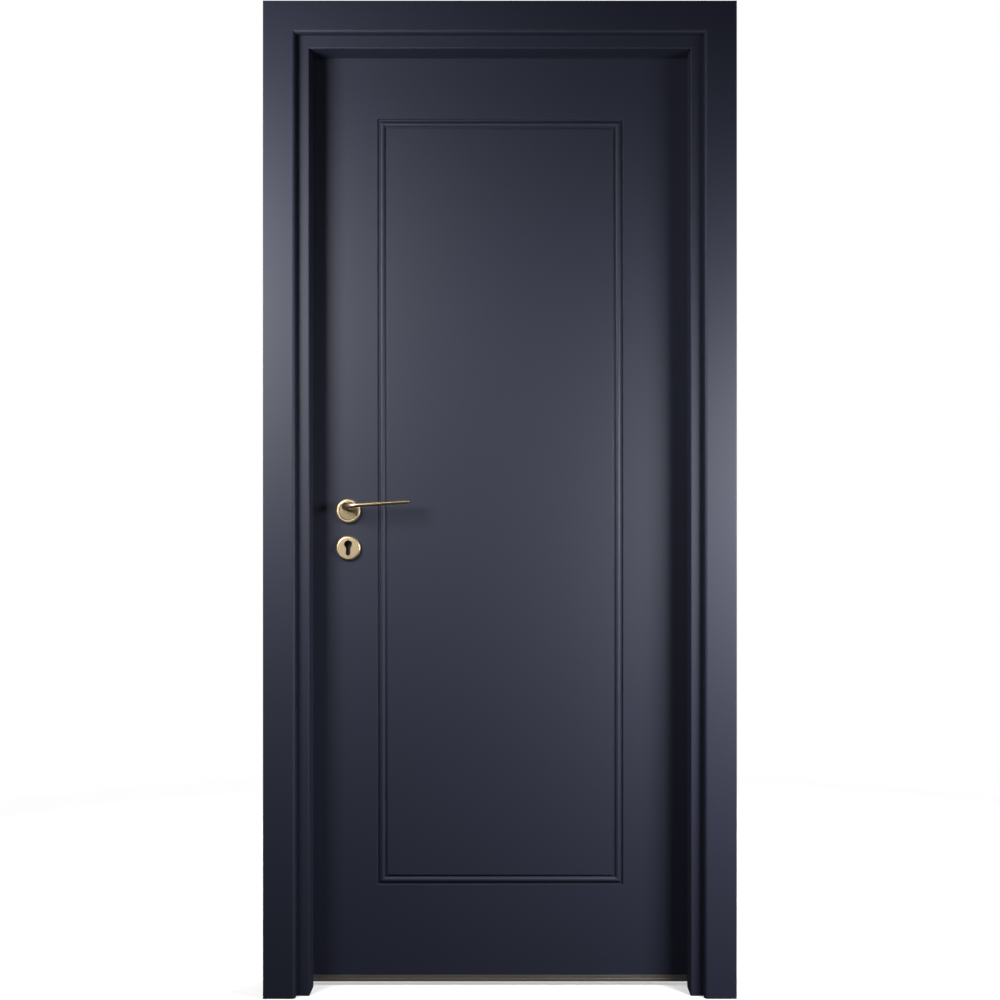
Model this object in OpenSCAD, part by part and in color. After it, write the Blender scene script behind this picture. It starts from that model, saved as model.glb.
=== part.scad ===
// Interior door set: rebated jambs with casings on both wall faces, a flush leaf with a framed
// bead, a mortise lock, lever handles on round roses and three butt hinges.
// Millimetres. X runs along the wall, Y through the wall away from the push side, Z up.
// The origin is on the finished floor, in the middle of the passage and of the wall thickness.

/* [Passage] */
// Clear width between the jambs
clear_w = 805; // [700:5:1000]
// Clear height under the head jamb
clear_h = 2000; // [1900:10:2300]
// Thickness of the wall that the jambs line
wall_t = 110; // [100:1:180]

/* [Jambs] */
// Thickness of a jamb board
jamb_t = 40; // [36:1:55]
// Width of the rebate that the leaf closes into
rebate_w = 10; // [9:0.5:14]
// Rounding of the jamb's exposed edges
jamb_edge_r = 3; // [1:0.5:4]
// Distance between the stop and the closed leaf
seal_gap = 3; // [2:0.1:5]
// Width of the saw kerf that holds the gasket
kerf_w = 3; // [2:0.1:4]
// Depth of the saw kerf
kerf_d = 7; // [5:0.5:10]
// Width of the gasket's bulb
bulb_w = 7; // [5:0.1:8]
// Radius of the holes for the wall fixings
fixing_r = 4; // [2.5:0.5:5]
// Distance of the wall fixings behind the leaf's front
fixing_in = 10; // [6:0.5:12]
// Height of the lower wall fixing
fixing_z = 450; // [380:10:600]
// Height between the wall fixings of one jamb
fixing_pitch = 1050; // [950:10:1100]

/* [Casings] */
// Face width of a casing
casing_w = 68; // [50:1:120]
// Thickness of a casing
casing_t = 20; // [16:1:28]
// Width of the jamb's edge that a casing covers
casing_lap = 13; // [12:0.5:16]
// Rounding of the casing's edge beside the passage
casing_inner_r = 7; // [2:0.5:9]
// Rounding of the casing's edge on the wall
casing_outer_r = 2; // [1:0.5:5]
// Thickness of the tongue that enters the jamb
tongue_t = 6; // [4:0.5:7]
// Length of the tongue
tongue_l = 16; // [8:1:24]
// Depth of the hollow in the casing's back
casing_hollow = 3; // [1:0.5:5]

/* [Leaf] */
// Thickness of the leaf
leaf_t = 40; // [38:1:50]
// Gap between the leaf and the jambs
leaf_gap = 3; // [2:0.5:4]
// Height of the leaf's bottom strip above the floor
floor_gap = 9; // [4:0.5:20]
// Visible height of the bottom strip
strip_h = 14.5; // [8:0.5:30]
// Thickness of the strip's tongue in the leaf
strip_tongue_t = 10; // [6:1:16]
// Height of the strip's tongue
strip_tongue_h = 12; // [6:1:20]

/* [Bead] */
// Distance from the clear passage's sides to the bead's outer edge
bead_margin = 138; // [128:1:200]
// Distance from the clear passage's top to the bead's outer edge
bead_top_margin = 130; // [100:1:200]
// Height of the bead's lower outer edge above the floor
bead_z = 218.5; // [150:0.5:400]
// Width of the groove that holds the bead
groove_w = 20.5; // [16:0.5:30]
// Depth of the groove
groove_d = 5; // [4:0.5:8]
// Width of the round between its two quirks
round_w = 12.5; // [8:0.5:15]
// Height of the round's crown above the leaf's face
crown_h = 1; // [0:0.1:2]
// Thickness of the bead's base under the quirks
bead_base_t = 1.5; // [1:0.1:3]

/* [Handle] */
// Height of the spindle above the floor
spindle_z = 1024.5; // [950:0.5:1080]
// Distance from the leaf's edge to the spindle
backset = 82; // [70:1:100]
// Width across the flats of the square spindle
spindle_w = 8; // [7:0.5:9]
// Radius of the round roses
rose_r = 26.2; // [25:0.1:30]
// Depth of the roses
rose_d = 9; // [8:0.5:12]
// Radius of the lever's hub
hub_r = 18.8; // [18:0.1:20.5]
// Length of the lever from the spindle's axis to its tip
lever_l = 135; // [100:1:150]
// Distance from the leaf to the lever's front
lever_out = 53; // [45:1:65]
// Thickness of the lever's bar, front to back
lever_t = 12; // [9:0.5:14]
// Outer radius of the lever's bend
lever_bend_r = 24; // [18:0.5:28]
// Height of the lever's lower edge above the axis at its neck
lever_low = 3.9; // [2:0.1:6]
// Height of the lever's middle above the axis at its tip
lever_tip_z = 19.5; // [14:0.5:25]
// Radius of the lever's tip
lever_tip_r = 4.2; // [3:0.1:5]

/* [Lock] */
// Distance from the spindle down to the key cylinder's axis
cylinder_drop = 72; // [70:1:85]
// Radius of the cylinder profile's round part
profile_r = 8.5; // [8:0.1:9]
// Width of the cylinder profile's slot
profile_w = 10; // [9:0.1:11]
// Height of the whole cylinder profile
profile_h = 33; // [31:0.1:35]
// Thickness of the lock case
case_t = 15; // [13:0.5:18]
// Thickness of the case's sheet
case_wall = 1.5; // [1:0.1:2]
// Width of the forend
forend_w = 22; // [20:0.5:24]
// Height of the forend
forend_h = 235; // [230:1:260]
// Thickness of the forend
forend_t = 3; // [2.5:0.1:4]
// Height of the latch above the spindle
latch_up = 14; // [13:0.5:18]
// Height of the latch's nose
latch_h = 20; // [16:0.5:22]
// Travel of the latch
latch_throw = 11; // [8:0.5:13]
// Distance from the spindle down to the deadbolt
bolt_down = 42; // [38:0.5:44]
// Height of the deadbolt
bolt_h = 30; // [24:0.5:32]
// Travel of the deadbolt
bolt_throw = 15; // [10:0.5:16]
// Thickness of the strike plate
strike_t = 2.5; // [2:0.1:3]
// Width of the strike plate
strike_w = 24; // [22:0.5:28]

/* [Hinges] */
// Height of a hinge
hinge_h = 100; // [80:1:120]
// Width of a hinge's plate
plate_w = 30; // [26:1:32]
// Thickness of a hinge's plate
plate_t = 2.5; // [2:0.1:3]
// Radius of the knuckles
knuckle_r = 6; // [5:0.1:7]
// Radius of the hinge's pin
pin_r = 3; // [2.5:0.1:3.5]
// Distance from the leaf's ends to the middle of the outer hinges
hinge_end = 215; // [150:1:250]

/* [Fits] */
// Radial clearance of a turning pin or shaft
run_clear = 0.06; // [0.02:0.01:0.1]
// Clearance beside pieces that are pressed, glued or screwed in
seat_clear = 0.1; // [0.05:0.05:0.2]
// Clearance beside pieces that slide
slide_clear = 0.3; // [0.2:0.05:0.5]

/* [Hidden] */
$fn = 48;
eps = 1;

// Colours
lacquer = "#43465a";
brass = "#cbb487";
steel = "#a9abad";
rubber = "#1d1e22";
dark_plastic = "#2b2b2d";
anodised = "#6b645e";

// Planes of the frame and the leaf
half_w = clear_w / 2;
seat_x = half_w + rebate_w;
leaf_edge = seat_x - leaf_gap;
leaf_rear = wall_t / 2;
leaf_front = leaf_rear - leaf_t;
leaf_mid = leaf_rear - leaf_t / 2;
stop_y = leaf_front - seal_gap;
leaf_bottom = floor_gap + strip_h;
leaf_top = clear_h + rebate_w - leaf_gap;

// Casing's place over the jamb
casing_near = jamb_t - casing_lap;
tongue_near = casing_near + (casing_lap - tongue_t) / 2;
tongue_room = 2;
hollow_margin = 10;

// Gasket
kerf_near = (rebate_w - kerf_w) / 2;
bulb_t = seal_gap - slide_clear;

// Bead rectangle
bead_half = half_w - bead_margin;
bead_top = clear_h - bead_top_margin;
round_rise = groove_d + crown_h - bead_base_t;
round_r = (pow(round_w / 2, 2) + pow(round_rise, 2)) / (2 * round_rise);

// Bottom strip
strip_end = 1;
strip_setback = 0.5;
strip_groove_w = 1.6;
strip_groove_d = 1;

// Handle
spindle_m = leaf_edge - backset;
spindle_x = -spindle_m;
rose_face_t = 2;
rose_wall = 2;
rose_edge_r = 4;
base_d = 5;
hub_step = 0.5;
hub_recess = 1.5;
hub_face = rose_d - hub_recess;
hub_groove = 1.2;
shank_r = 9;
shank_in = 8;
leaf_bore_r = 13.5;
clip_r = 12;
clip_t = 1.2;
rose_bolt_off = 19;
rose_bolt_r = 2;
rose_bolt_head_r = 3.6;
spindle_end = 3;
lever_neck_x = -14;
lever_neck_inset = 0.6;
lever_end_over = 1.2;
lever_chord_x = 6;
lever_taper_x = 18;
lever_taper_rise = 3.1;
lever_top_x = 10;
lever_top_z = 16.6;

// Lock
cylinder_z = spindle_z - cylinder_drop;
profile_foot = profile_h - profile_r;
escutcheon_z = cylinder_z - (profile_foot - profile_r) / 2;
case_above = 46;
case_below = 112;
case_back = 26;
case_far = leaf_edge - forend_t;
case_near = spindle_m - case_back;
forend_top = 77;
forend_screw_in = 12;
nose_set = 0.2;
bolt_half_t = case_t / 2 - case_wall - slide_clear;
latch_z = spindle_z + latch_up;
bolt_z = spindle_z - bolt_down;
latch_l = 30;
bolt_l = 40;
tail_half_t = 2;
latch_tail_low = 1;
latch_tail_h = 8;
latch_tail_back = 12;
bolt_tail_h = 20;
bolt_notch_r = 5;
follower_r = 12.5;
follower_hub_r = 9;
nose_r = 3;

// Strike
strike_tab = 34;
strike_top = latch_z + latch_h / 2 + strike_tab;
strike_bottom = bolt_z - bolt_h / 2 - strike_tab;
strike_screw_in = 12;
window_clear = 1;
box_wall = 1.5;
box_margin = 5;
box_end = 2;
strike_box_d = max(latch_throw, bolt_throw) - leaf_gap - strike_t + box_end + box_wall;

// Hinges
hinge_x = seat_x - leaf_gap / 2;
knuckle_off = 0.5;
hinge_y = leaf_rear + knuckle_off + knuckle_r;
knuckles = 5;
knuckle_h = hinge_h / knuckles;
knuckle_gap = 0.3;
pin_head_r = 4.8;
pin_head_h = 3.5;
hinge_low = leaf_bottom + hinge_end;
hinge_top = leaf_top - hinge_end;
hinge_mid = (hinge_low + hinge_top) / 2;
hinge_zs = [hinge_low, hinge_mid, hinge_top];
hinge_screw_end = 12;
hinge_screw_pitch = 25;
hinge_screw_far = hinge_h / 2 - hinge_screw_end;
hinge_screw_near = hinge_screw_far - hinge_screw_pitch;
hinge_screw_zs = [-hinge_screw_far, -hinge_screw_near, hinge_screw_near, hinge_screw_far];
hinge_screw_ins = [plate_w / 3, 2 * plate_w / 3, 2 * plate_w / 3, plate_w / 3];

// Countersunk wood screws
screw_r = 2;
screw_head_r = 4;
screw_head_d = 2;
screw_wall = 2.5;
jamb_screw_l = tongue_near - rebate_w - screw_wall;
leaf_screw_l = 22;
corner_screw_l = 80;
corner_screw_off = 25;

// Coordinates of the lock side, mirrored so that they grow towards the lock jamb
module lock_side() mirror([1, 0, 0]) children();

// Children drawn on the leaf's rear face, or mirrored onto its front face
module on_face(front) {
  translate([0, leaf_mid, 0])
    mirror([0, front ? 1 : 0, 0])
      translate([0, -leaf_mid, 0])
        children();
}

// A plan in X and Z carried through the wall's depth
module through_y() rotate([90, 0, 0]) linear_extrude(height = 4 * wall_t, center = true) children();

// A section in X and Y run along X, with its X turned up to Z
module along_x(length) {
  translate([length / 2, 0, 0]) rotate([0, -90, 0]) linear_extrude(height = length) children();
}

// The sliver between a square corner and its rounding
module corner_cut(r) {
  difference() {
    translate([-eps, -eps]) square(r + eps);
    translate([r, r]) circle(r);
  }
}

// Region of an upright whose top is mitred to the head
module upright_region(near, far, top) {
  through_y() polygon([[near, 0], [far, 0], [far, top + far - near], [near, top]]);
}

// Region of a head that is mitred to both uprights
module head_region(near, far, top) {
  rise = far - near;
  through_y() polygon([[-near, top], [near, top], [far, top + rise], [-far, top + rise]]);
}

// A section that runs up beside the passage, from the floor to the mitre
module upright(near, far, top) {
  intersection() {
    translate([half_w, 0, 0]) linear_extrude(height = top + far) children();
    upright_region(near, far, top);
  }
}

// A section that runs over the passage between the mitres
module head(near, far, top) {
  intersection() {
    translate([0, 0, clear_h]) along_x(2 * far) children();
    head_region(near, far, top);
  }
}

// Jamb's section: X from the clear passage into the wall, Y through the wall
module jamb_section() {
  groove_half = tongue_t / 2 + seat_clear;
  groove_mid = tongue_near + tongue_t / 2;
  difference() {
    translate([0, -wall_t / 2]) square([jamb_t, wall_t]);
    translate([-eps, stop_y]) square([rebate_w + eps, wall_t]);
    translate([kerf_near, stop_y - kerf_d]) square([kerf_w, kerf_d + eps]);
    for (face = [0, 1]) {
      mirror([0, face])
        translate([groove_mid - groove_half, -wall_t / 2 - eps])
          square([2 * groove_half, tongue_l + tongue_room + eps]);
    }
    translate([0, -wall_t / 2]) corner_cut(jamb_edge_r);
    translate([0, stop_y]) mirror([0, 1]) corner_cut(min(jamb_edge_r, kerf_near - eps / 2));
    translate([rebate_w, wall_t / 2]) mirror([0, 1]) corner_cut(jamb_edge_r);
  }
}

// Casing's section, with its tongue and the hollow of its back
module casing_section() {
  hollow_from = jamb_t + hollow_margin;
  hollow_to = casing_near + casing_w - hollow_margin;
  difference() {
    union() {
      translate([casing_near, -wall_t / 2 - casing_t]) square([casing_w, casing_t]);
      translate([tongue_near, -wall_t / 2 - eps]) square([tongue_t, tongue_l + eps]);
    }
    translate([casing_near, -wall_t / 2 - casing_t]) corner_cut(casing_inner_r);
    translate([casing_near + casing_w, -wall_t / 2 - casing_t]) mirror([1, 0]) corner_cut(casing_outer_r);
    translate([hollow_from, -wall_t / 2 - casing_hollow])
      square([hollow_to - hollow_from, casing_hollow + eps]);
  }
}

// Gasket's section: a stem in the kerf and a flat bulb on the stop
module gasket_section() {
  bulb_near = (rebate_w - bulb_w) / 2;
  stem_w = kerf_w - 2 * seat_clear;
  translate([kerf_near + seat_clear, stop_y - kerf_d + slide_clear]) square([stem_w, kerf_d]);
  translate([bulb_near + bulb_t / 2, stop_y]) square([bulb_w - bulb_t, bulb_t]);
  for (end = [bulb_near + bulb_t / 2, bulb_near + bulb_w - bulb_t / 2]) {
    translate([end, stop_y + bulb_t / 2]) circle(bulb_t / 2);
  }
}

// Countersunk screw that enters along +Z from its face at the origin, grown by a clearance
module screw(length, grow = 0) {
  cylinder(r1 = screw_head_r + grow, r2 = screw_r + grow, h = screw_head_d);
  cylinder(r = screw_r + grow, h = length + grow);
}

// Wall fixing holes of an upright
module fixing_holes() {
  for (z = [fixing_z, fixing_z + fixing_pitch]) {
    translate([half_w - eps, leaf_front + fixing_in, z])
      rotate([0, 90, 0]) cylinder(r = fixing_r, h = jamb_t + 2 * eps);
  }
}

module jamb_upright() {
  upright(half_w, half_w + jamb_t, clear_h) jamb_section();
}

module casing_upright() {
  near = half_w + casing_near;
  upright(near, near + casing_w, clear_h + casing_near) casing_section();
}

module casing_over() {
  near = half_w + casing_near;
  head(near, near + casing_w, clear_h + casing_near) casing_section();
}

// Screws that pull the head's mitres onto the uprights
module corner_screw_set(grow = 0) {
  for (side = [-1, 1]) {
    for (depth = [-1, 1]) {
      translate([side * (half_w + jamb_t / 2), depth * corner_screw_off, clear_h + jamb_t])
        rotate([180, 0, 0]) screw(corner_screw_l, grow);
    }
  }
}

// Strike plate's outline and its two windows, drawn in Y and Z
module strike_blank(grow = 0) {
  translate([seat_x, leaf_mid - strike_w / 2 - grow, strike_bottom - grow])
    cube([strike_t, strike_w + 2 * grow, strike_top - strike_bottom + 2 * grow]);
}

module strike_windows(grow, from, to) {
  half_t = bolt_half_t + grow;
  for (bolt = [[latch_z, latch_h], [bolt_z, bolt_h]]) {
    half_h = bolt[1] / 2 + grow;
    translate([from, leaf_mid - half_t, bolt[0] - half_h]) cube([to - from, 2 * half_t, 2 * half_h]);
  }
}

module strike_screw_set(grow = 0) {
  for (z = [strike_bottom + strike_screw_in, strike_top - strike_screw_in]) {
    translate([seat_x, leaf_mid, z]) rotate([0, 90, 0]) screw(jamb_screw_l, grow);
  }
}

// Dust box behind the strike: outer block, or its hollow
module strike_box_block(inset, depth) {
  half_t = bolt_half_t + window_clear + box_wall - inset;
  low = bolt_z - bolt_h / 2 - box_margin + inset;
  high = latch_z + latch_h / 2 + box_margin - inset;
  translate([seat_x + strike_t, leaf_mid - half_t, low]) cube([depth, 2 * half_t, high - low]);
}

module jamb_left() color(lacquer) lock_side() {
  difference() {
    jamb_upright();
    fixing_holes();
    strike_blank(seat_clear);
    strike_box_block(-seat_clear, strike_box_d + seat_clear);
    strike_screw_set(seat_clear);
    lock_side() corner_screw_set(seat_clear);
  }
}

module jamb_right() color(lacquer) {
  difference() {
    jamb_upright();
    fixing_holes();
    for (z = hinge_zs) {
      hinge_recess(seat_x - eps, seat_x + plate_t, z);
    }
    hinge_screw_set(seat_x, 1, seat_clear);
    corner_screw_set(seat_clear);
  }
}

module jamb_head() color(lacquer) {
  difference() {
    head(half_w, half_w + jamb_t, clear_h) jamb_section();
    corner_screw_set(seat_clear);
  }
}

module casing_front_left() color(lacquer) lock_side() casing_upright();
module casing_front_right() color(lacquer) casing_upright();
module casing_front_head() color(lacquer) casing_over();
module casing_rear_left() color(lacquer) mirror([0, 1, 0]) lock_side() casing_upright();
module casing_rear_right() color(lacquer) mirror([0, 1, 0]) casing_upright();
module casing_rear_head() color(lacquer) mirror([0, 1, 0]) casing_over();

module gasket_upright() upright(half_w, half_w + jamb_t, clear_h) gasket_section();
module gasket_left() color(rubber) lock_side() gasket_upright();
module gasket_right() color(rubber) gasket_upright();
module gasket_head() color(rubber) head(half_w, half_w + jamb_t, clear_h) gasket_section();

module corner_screws() color(steel) corner_screw_set();

module strike_plate() color(steel) lock_side() {
  difference() {
    strike_blank();
    strike_windows(window_clear, seat_x - eps, seat_x + strike_t + eps);
    strike_screw_set(seat_clear);
  }
}

module strike_box() color(dark_plastic) lock_side() {
  difference() {
    strike_box_block(0, strike_box_d);
    translate([-eps, 0, 0]) strike_box_block(box_wall, strike_box_d - box_wall + eps);
  }
}

module strike_screws() color(steel) lock_side() strike_screw_set();

// Recess for a hinge plate, open towards the rear face
module hinge_recess(from, to, z) {
  translate([from, leaf_rear - plate_w - seat_clear, z - hinge_h / 2 - seat_clear])
    cube([to - from, plate_w + 2 * seat_clear + eps, hinge_h + 2 * seat_clear]);
}

// Screws of all hinge plates on one side; dir is their way into the wood
module hinge_screw_set(x, dir, grow = 0) {
  for (z = hinge_zs) {
    for (i = [0 : len(hinge_screw_zs) - 1]) {
      translate([x, leaf_rear - hinge_screw_ins[i], z + hinge_screw_zs[i]])
        rotate([0, dir * 90, 0]) screw(dir > 0 ? jamb_screw_l : leaf_screw_l, grow);
    }
  }
}

// One half of a hinge: a plate, its knuckles and the bore for the pin
module hinge_half(x, first, z, bore) {
  difference() {
    union() {
      translate([x, leaf_rear - plate_w, z - hinge_h / 2]) cube([plate_t, plate_w, hinge_h]);
      for (i = [first : 2 : knuckles - 1]) {
        low = z - hinge_h / 2 + i * knuckle_h + knuckle_gap / 2;
        tall = knuckle_h - knuckle_gap;
        translate([hinge_x, hinge_y, low]) cylinder(r = knuckle_r, h = tall);
        translate([x, leaf_rear - eps, low]) cube([plate_t, hinge_y - leaf_rear + eps, tall]);
      }
    }
    translate([hinge_x, hinge_y, z - hinge_h]) cylinder(r = pin_r + bore, h = 2 * hinge_h);
  }
}

module hinge_jamb_plate(z) color(brass) {
  difference() {
    hinge_half(seat_x, 0, z, run_clear / 2);
    hinge_screw_set(seat_x, 1, seat_clear);
  }
}

module hinge_leaf_plate(z) color(brass) {
  difference() {
    hinge_half(leaf_edge - plate_t, 1, z, run_clear);
    hinge_screw_set(leaf_edge, -1, seat_clear);
  }
}

// Hinge pin with a button at each end
module hinge_pin(z) color(brass) translate([hinge_x, hinge_y, z]) {
  cylinder(r = pin_r, h = hinge_h, center = true);
  for (end = [0, 1]) {
    mirror([0, 0, end]) translate([0, 0, hinge_h / 2]) {
      cylinder(r = pin_head_r, h = pin_head_h / 2);
      translate([0, 0, pin_head_h / 2]) cylinder(r1 = pin_head_r, r2 = pin_head_r / 2, h = pin_head_h / 2);
    }
  }
}

module hinge_jamb_screws() color(brass) hinge_screw_set(seat_x, 1);
module hinge_leaf_screws() color(brass) hinge_screw_set(leaf_edge, -1);

// Bead's section across the groove: quirk, round, quirk, with Y out of the leaf
module bead_section() {
  translate([-groove_w / 2 + seat_clear, 0]) square([groove_w - 2 * seat_clear, bead_base_t]);
  intersection() {
    translate([0, groove_d + crown_h - round_r]) circle(round_r);
    translate([-groove_w / 2, bead_base_t / 2]) square([groove_w, groove_d + crown_h]);
  }
}

// Bead that stands at one side of the panel, on the rear face
module bead_upright(side) {
  intersection() {
    translate([side * (bead_half - groove_w / 2), leaf_rear - groove_d, bead_z])
      linear_extrude(height = bead_top - bead_z) bead_section();
    mirror([side < 0 ? 1 : 0, 0, 0]) through_y() polygon([
      [bead_half, bead_z], [bead_half, bead_top],
      [bead_half - groove_w, bead_top - groove_w], [bead_half - groove_w, bead_z + groove_w]
    ]);
  }
}

// Bead that lies along the panel's top (way 1) or bottom (way -1), on the rear face
module bead_level(edge, way) {
  intersection() {
    translate([0, leaf_rear - groove_d, edge - way * groove_w / 2]) along_x(2 * bead_half) bead_section();
    through_y() polygon([
      [-bead_half, edge], [bead_half, edge],
      [bead_half - groove_w, edge - way * groove_w], [groove_w - bead_half, edge - way * groove_w]
    ]);
  }
}

module bead_front_left() color(lacquer) on_face(true) bead_upright(-1);
module bead_front_right() color(lacquer) on_face(true) bead_upright(1);
module bead_front_top() color(lacquer) on_face(true) bead_level(bead_top, 1);
module bead_front_bottom() color(lacquer) on_face(true) bead_level(bead_z, -1);
module bead_rear_left() color(lacquer) on_face(false) bead_upright(-1);
module bead_rear_right() color(lacquer) on_face(false) bead_upright(1);
module bead_rear_top() color(lacquer) on_face(false) bead_level(bead_top, 1);
module bead_rear_bottom() color(lacquer) on_face(false) bead_level(bead_z, -1);

// Groove for the beads, on the rear face
module bead_groove() {
  inner_half = bead_half - groove_w;
  inner_h = bead_top - bead_z - 2 * groove_w;
  difference() {
    translate([-bead_half, leaf_rear - groove_d, bead_z])
      cube([2 * bead_half, groove_d + eps, bead_top - bead_z]);
    translate([-inner_half, leaf_rear - groove_d - eps, bead_z + groove_w])
      cube([2 * inner_half, groove_d + 3 * eps, inner_h]);
  }
}

// Strip under the leaf, with a drip groove in each face and a tongue in the leaf
module bottom_strip() color(anodised) {
  length = 2 * (leaf_edge - strip_end);
  body_t = leaf_t - 2 * strip_setback;
  difference() {
    union() {
      translate([-length / 2, leaf_mid - body_t / 2, floor_gap]) cube([length, body_t, strip_h]);
      translate([-length / 2, leaf_mid - strip_tongue_t / 2, floor_gap])
        cube([length, strip_tongue_t, strip_h + strip_tongue_h]);
    }
    for (side = [-1, 1]) {
      translate([0, leaf_mid + side * body_t / 2, floor_gap + strip_h / 2])
        cube([length + eps, 2 * strip_groove_d, strip_groove_w], center = true);
    }
  }
}

module strip_slot() {
  slot_t = strip_tongue_t + 2 * seat_clear;
  translate([-leaf_edge - eps, leaf_mid - slot_t / 2, leaf_bottom - eps])
    cube([2 * leaf_edge + 2 * eps, slot_t, strip_tongue_h + seat_clear + eps]);
}

// Key cylinder's profile, drawn in X and Z about its round part
module cylinder_profile(grow = 0) {
  circle(profile_r + grow);
  slot_low = profile_w / 2 - profile_foot;
  translate([-profile_w / 2 - grow, slot_low]) square([profile_w + 2 * grow, -slot_low]);
  translate([0, slot_low]) circle(profile_w / 2 + grow);
}

module profile_hole(from, to, grow = 0) {
  translate([spindle_x, to, cylinder_z]) rotate([90, 0, 0])
    linear_extrude(height = to - from) cylinder_profile(grow);
}

// Forend's outline with round ends, carried along X from one plane to another
module forend_blank(from, to, grow = 0) {
  half = forend_w / 2 + grow;
  low = spindle_z + forend_top - forend_h + forend_w / 2;
  high = spindle_z + forend_top - forend_w / 2;
  translate([from, leaf_mid - half, low]) cube([to - from, 2 * half, high - low]);
  for (z = [low, high]) {
    translate([from, leaf_mid, z]) rotate([0, 90, 0]) cylinder(r = half, h = to - from);
  }
}

module forend_screw_set(grow = 0) {
  for (z = [spindle_z + forend_top - forend_screw_in, spindle_z + forend_top - forend_h + forend_screw_in]) {
    translate([leaf_edge, leaf_mid, z]) rotate([0, -90, 0]) screw(leaf_screw_l, grow);
  }
}

// Lock case's block: its outside, or its inside when it is inset by the sheet's thickness
module case_block(inset, to) {
  from = case_near + inset;
  low = spindle_z - case_below + inset;
  tall = case_above + case_below - 2 * inset;
  translate([from, leaf_mid - case_t / 2 + inset, low]) cube([to - from, case_t - 2 * inset, tall]);
}

// Holes for the two bolts that clamp the roses, through everything between them
module rose_bolt_holes(r) {
  for (side = [-1, 1]) {
    translate([spindle_x + side * rose_bolt_off, leaf_mid, spindle_z])
      rotate([90, 0, 0]) cylinder(r = r, h = 3 * leaf_t, center = true);
  }
}

module spindle_bore(r) {
  translate([spindle_x, leaf_mid, spindle_z])
    rotate([90, 0, 0]) cylinder(r = r, h = 3 * leaf_t, center = true);
}

module leaf_panel() color(lacquer) {
  difference() {
    translate([-leaf_edge, leaf_front, leaf_bottom]) cube([2 * leaf_edge, leaf_t, leaf_top - leaf_bottom]);
    on_face(true) bead_groove();
    on_face(false) bead_groove();
    strip_slot();
    lock_side() {
      forend_blank(case_far, leaf_edge + eps, seat_clear);
      case_block(-seat_clear, case_far + eps);
      forend_screw_set(seat_clear);
    }
    profile_hole(leaf_front - eps, leaf_mid, slide_clear);
    spindle_bore(leaf_bore_r);
    rose_bolt_holes(rose_bolt_r + slide_clear);
    for (z = hinge_zs) {
      hinge_recess(leaf_edge - plate_t, leaf_edge + eps, z);
    }
    hinge_screw_set(leaf_edge, -1, seat_clear);
  }
}

module lock_case() color(steel) {
  difference() {
    lock_side() case_block(0, case_far);
    lock_side() case_block(case_wall, case_far + eps);
    spindle_bore(follower_hub_r + run_clear);
    rose_bolt_holes(rose_bolt_r + slide_clear);
    profile_hole(leaf_mid - case_t, leaf_mid, seat_clear);
  }
}

module lock_forend() color(steel) lock_side() {
  difference() {
    forend_blank(case_far, leaf_edge);
    strike_windows(slide_clear, case_far - eps, leaf_edge + eps);
    forend_screw_set(seat_clear);
  }
}

module forend_screws() color(steel) lock_side() forend_screw_set();

// Children drawn about the spindle's axis, with Y as the distance out of the leaf's face
module at_spindle(front, z = spindle_z) on_face(front) translate([spindle_x, leaf_rear, z]) children();

module turned() rotate([-90, 0, 0]) rotate_extrude() children();

// Ring that is screwed to the leaf and carries a rose's cover
module rose_base(bore) {
  inner = rose_r - rose_wall - seat_clear;
  turned() translate([bore, 0]) square([inner - bore, base_d]);
}

module rose_base_on(front) color(dark_plastic) {
  difference() {
    at_spindle(front) rose_base(shank_r + run_clear);
    rose_bolt_holes(rose_bolt_r + seat_clear);
    at_spindle(front) {
      for (side = [-1, 1]) {
        translate([side * rose_bolt_off, base_d, 0]) rotate([90, 0, 0]) rose_bolt_head(seat_clear);
      }
    }
  }
}

module rose_base_front() rose_base_on(true);
module rose_base_rear() rose_base_on(false);

// Cap of a rose: a rounded rim round an opening, or a closed face when the opening is none
module rose_cap(opening) {
  inner = rose_r - rose_wall;
  turned() difference() {
    translate([opening, 0]) square([rose_r - opening, rose_d]);
    translate([opening - eps, -eps]) square([inner - opening + eps, rose_d - rose_face_t + eps]);
    translate([rose_r, rose_d]) rotate(180) corner_cut(rose_edge_r);
  }
}

module rose_cover_front() color(brass) at_spindle(true) rose_cap(hub_r + hub_groove);
module rose_cover_rear() color(brass) at_spindle(false) rose_cap(hub_r + hub_groove);

module rose_bolt_head(grow = 0) {
  cylinder(r1 = rose_bolt_head_r + grow, r2 = rose_bolt_r + grow, h = rose_bolt_head_r - rose_bolt_r);
}

module rose_bolts() color(steel) {
  for (side = [-1, 1]) {
    translate([spindle_x + side * rose_bolt_off, leaf_mid, spindle_z]) {
      rotate([90, 0, 0]) cylinder(r = rose_bolt_r, h = leaf_t + 2 * base_d, center = true);
      for (face = [0, 1]) {
        mirror([0, face, 0]) translate([0, leaf_t / 2 + base_d, 0]) rotate([90, 0, 0]) rose_bolt_head();
      }
    }
  }
}

// Escutcheon round the key cylinder's hole, on the front face
module escutcheon_base() color(dark_plastic) {
  difference() {
    at_spindle(true, escutcheon_z) turned() square([rose_r - rose_wall - seat_clear, rose_d - rose_face_t]);
    profile_hole(leaf_front - 2 * rose_d, leaf_mid);
  }
}

module escutcheon_cover() color(brass) {
  difference() {
    at_spindle(true, escutcheon_z) rose_cap(0);
    profile_hole(leaf_front - 2 * rose_d, leaf_mid);
  }
}

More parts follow.
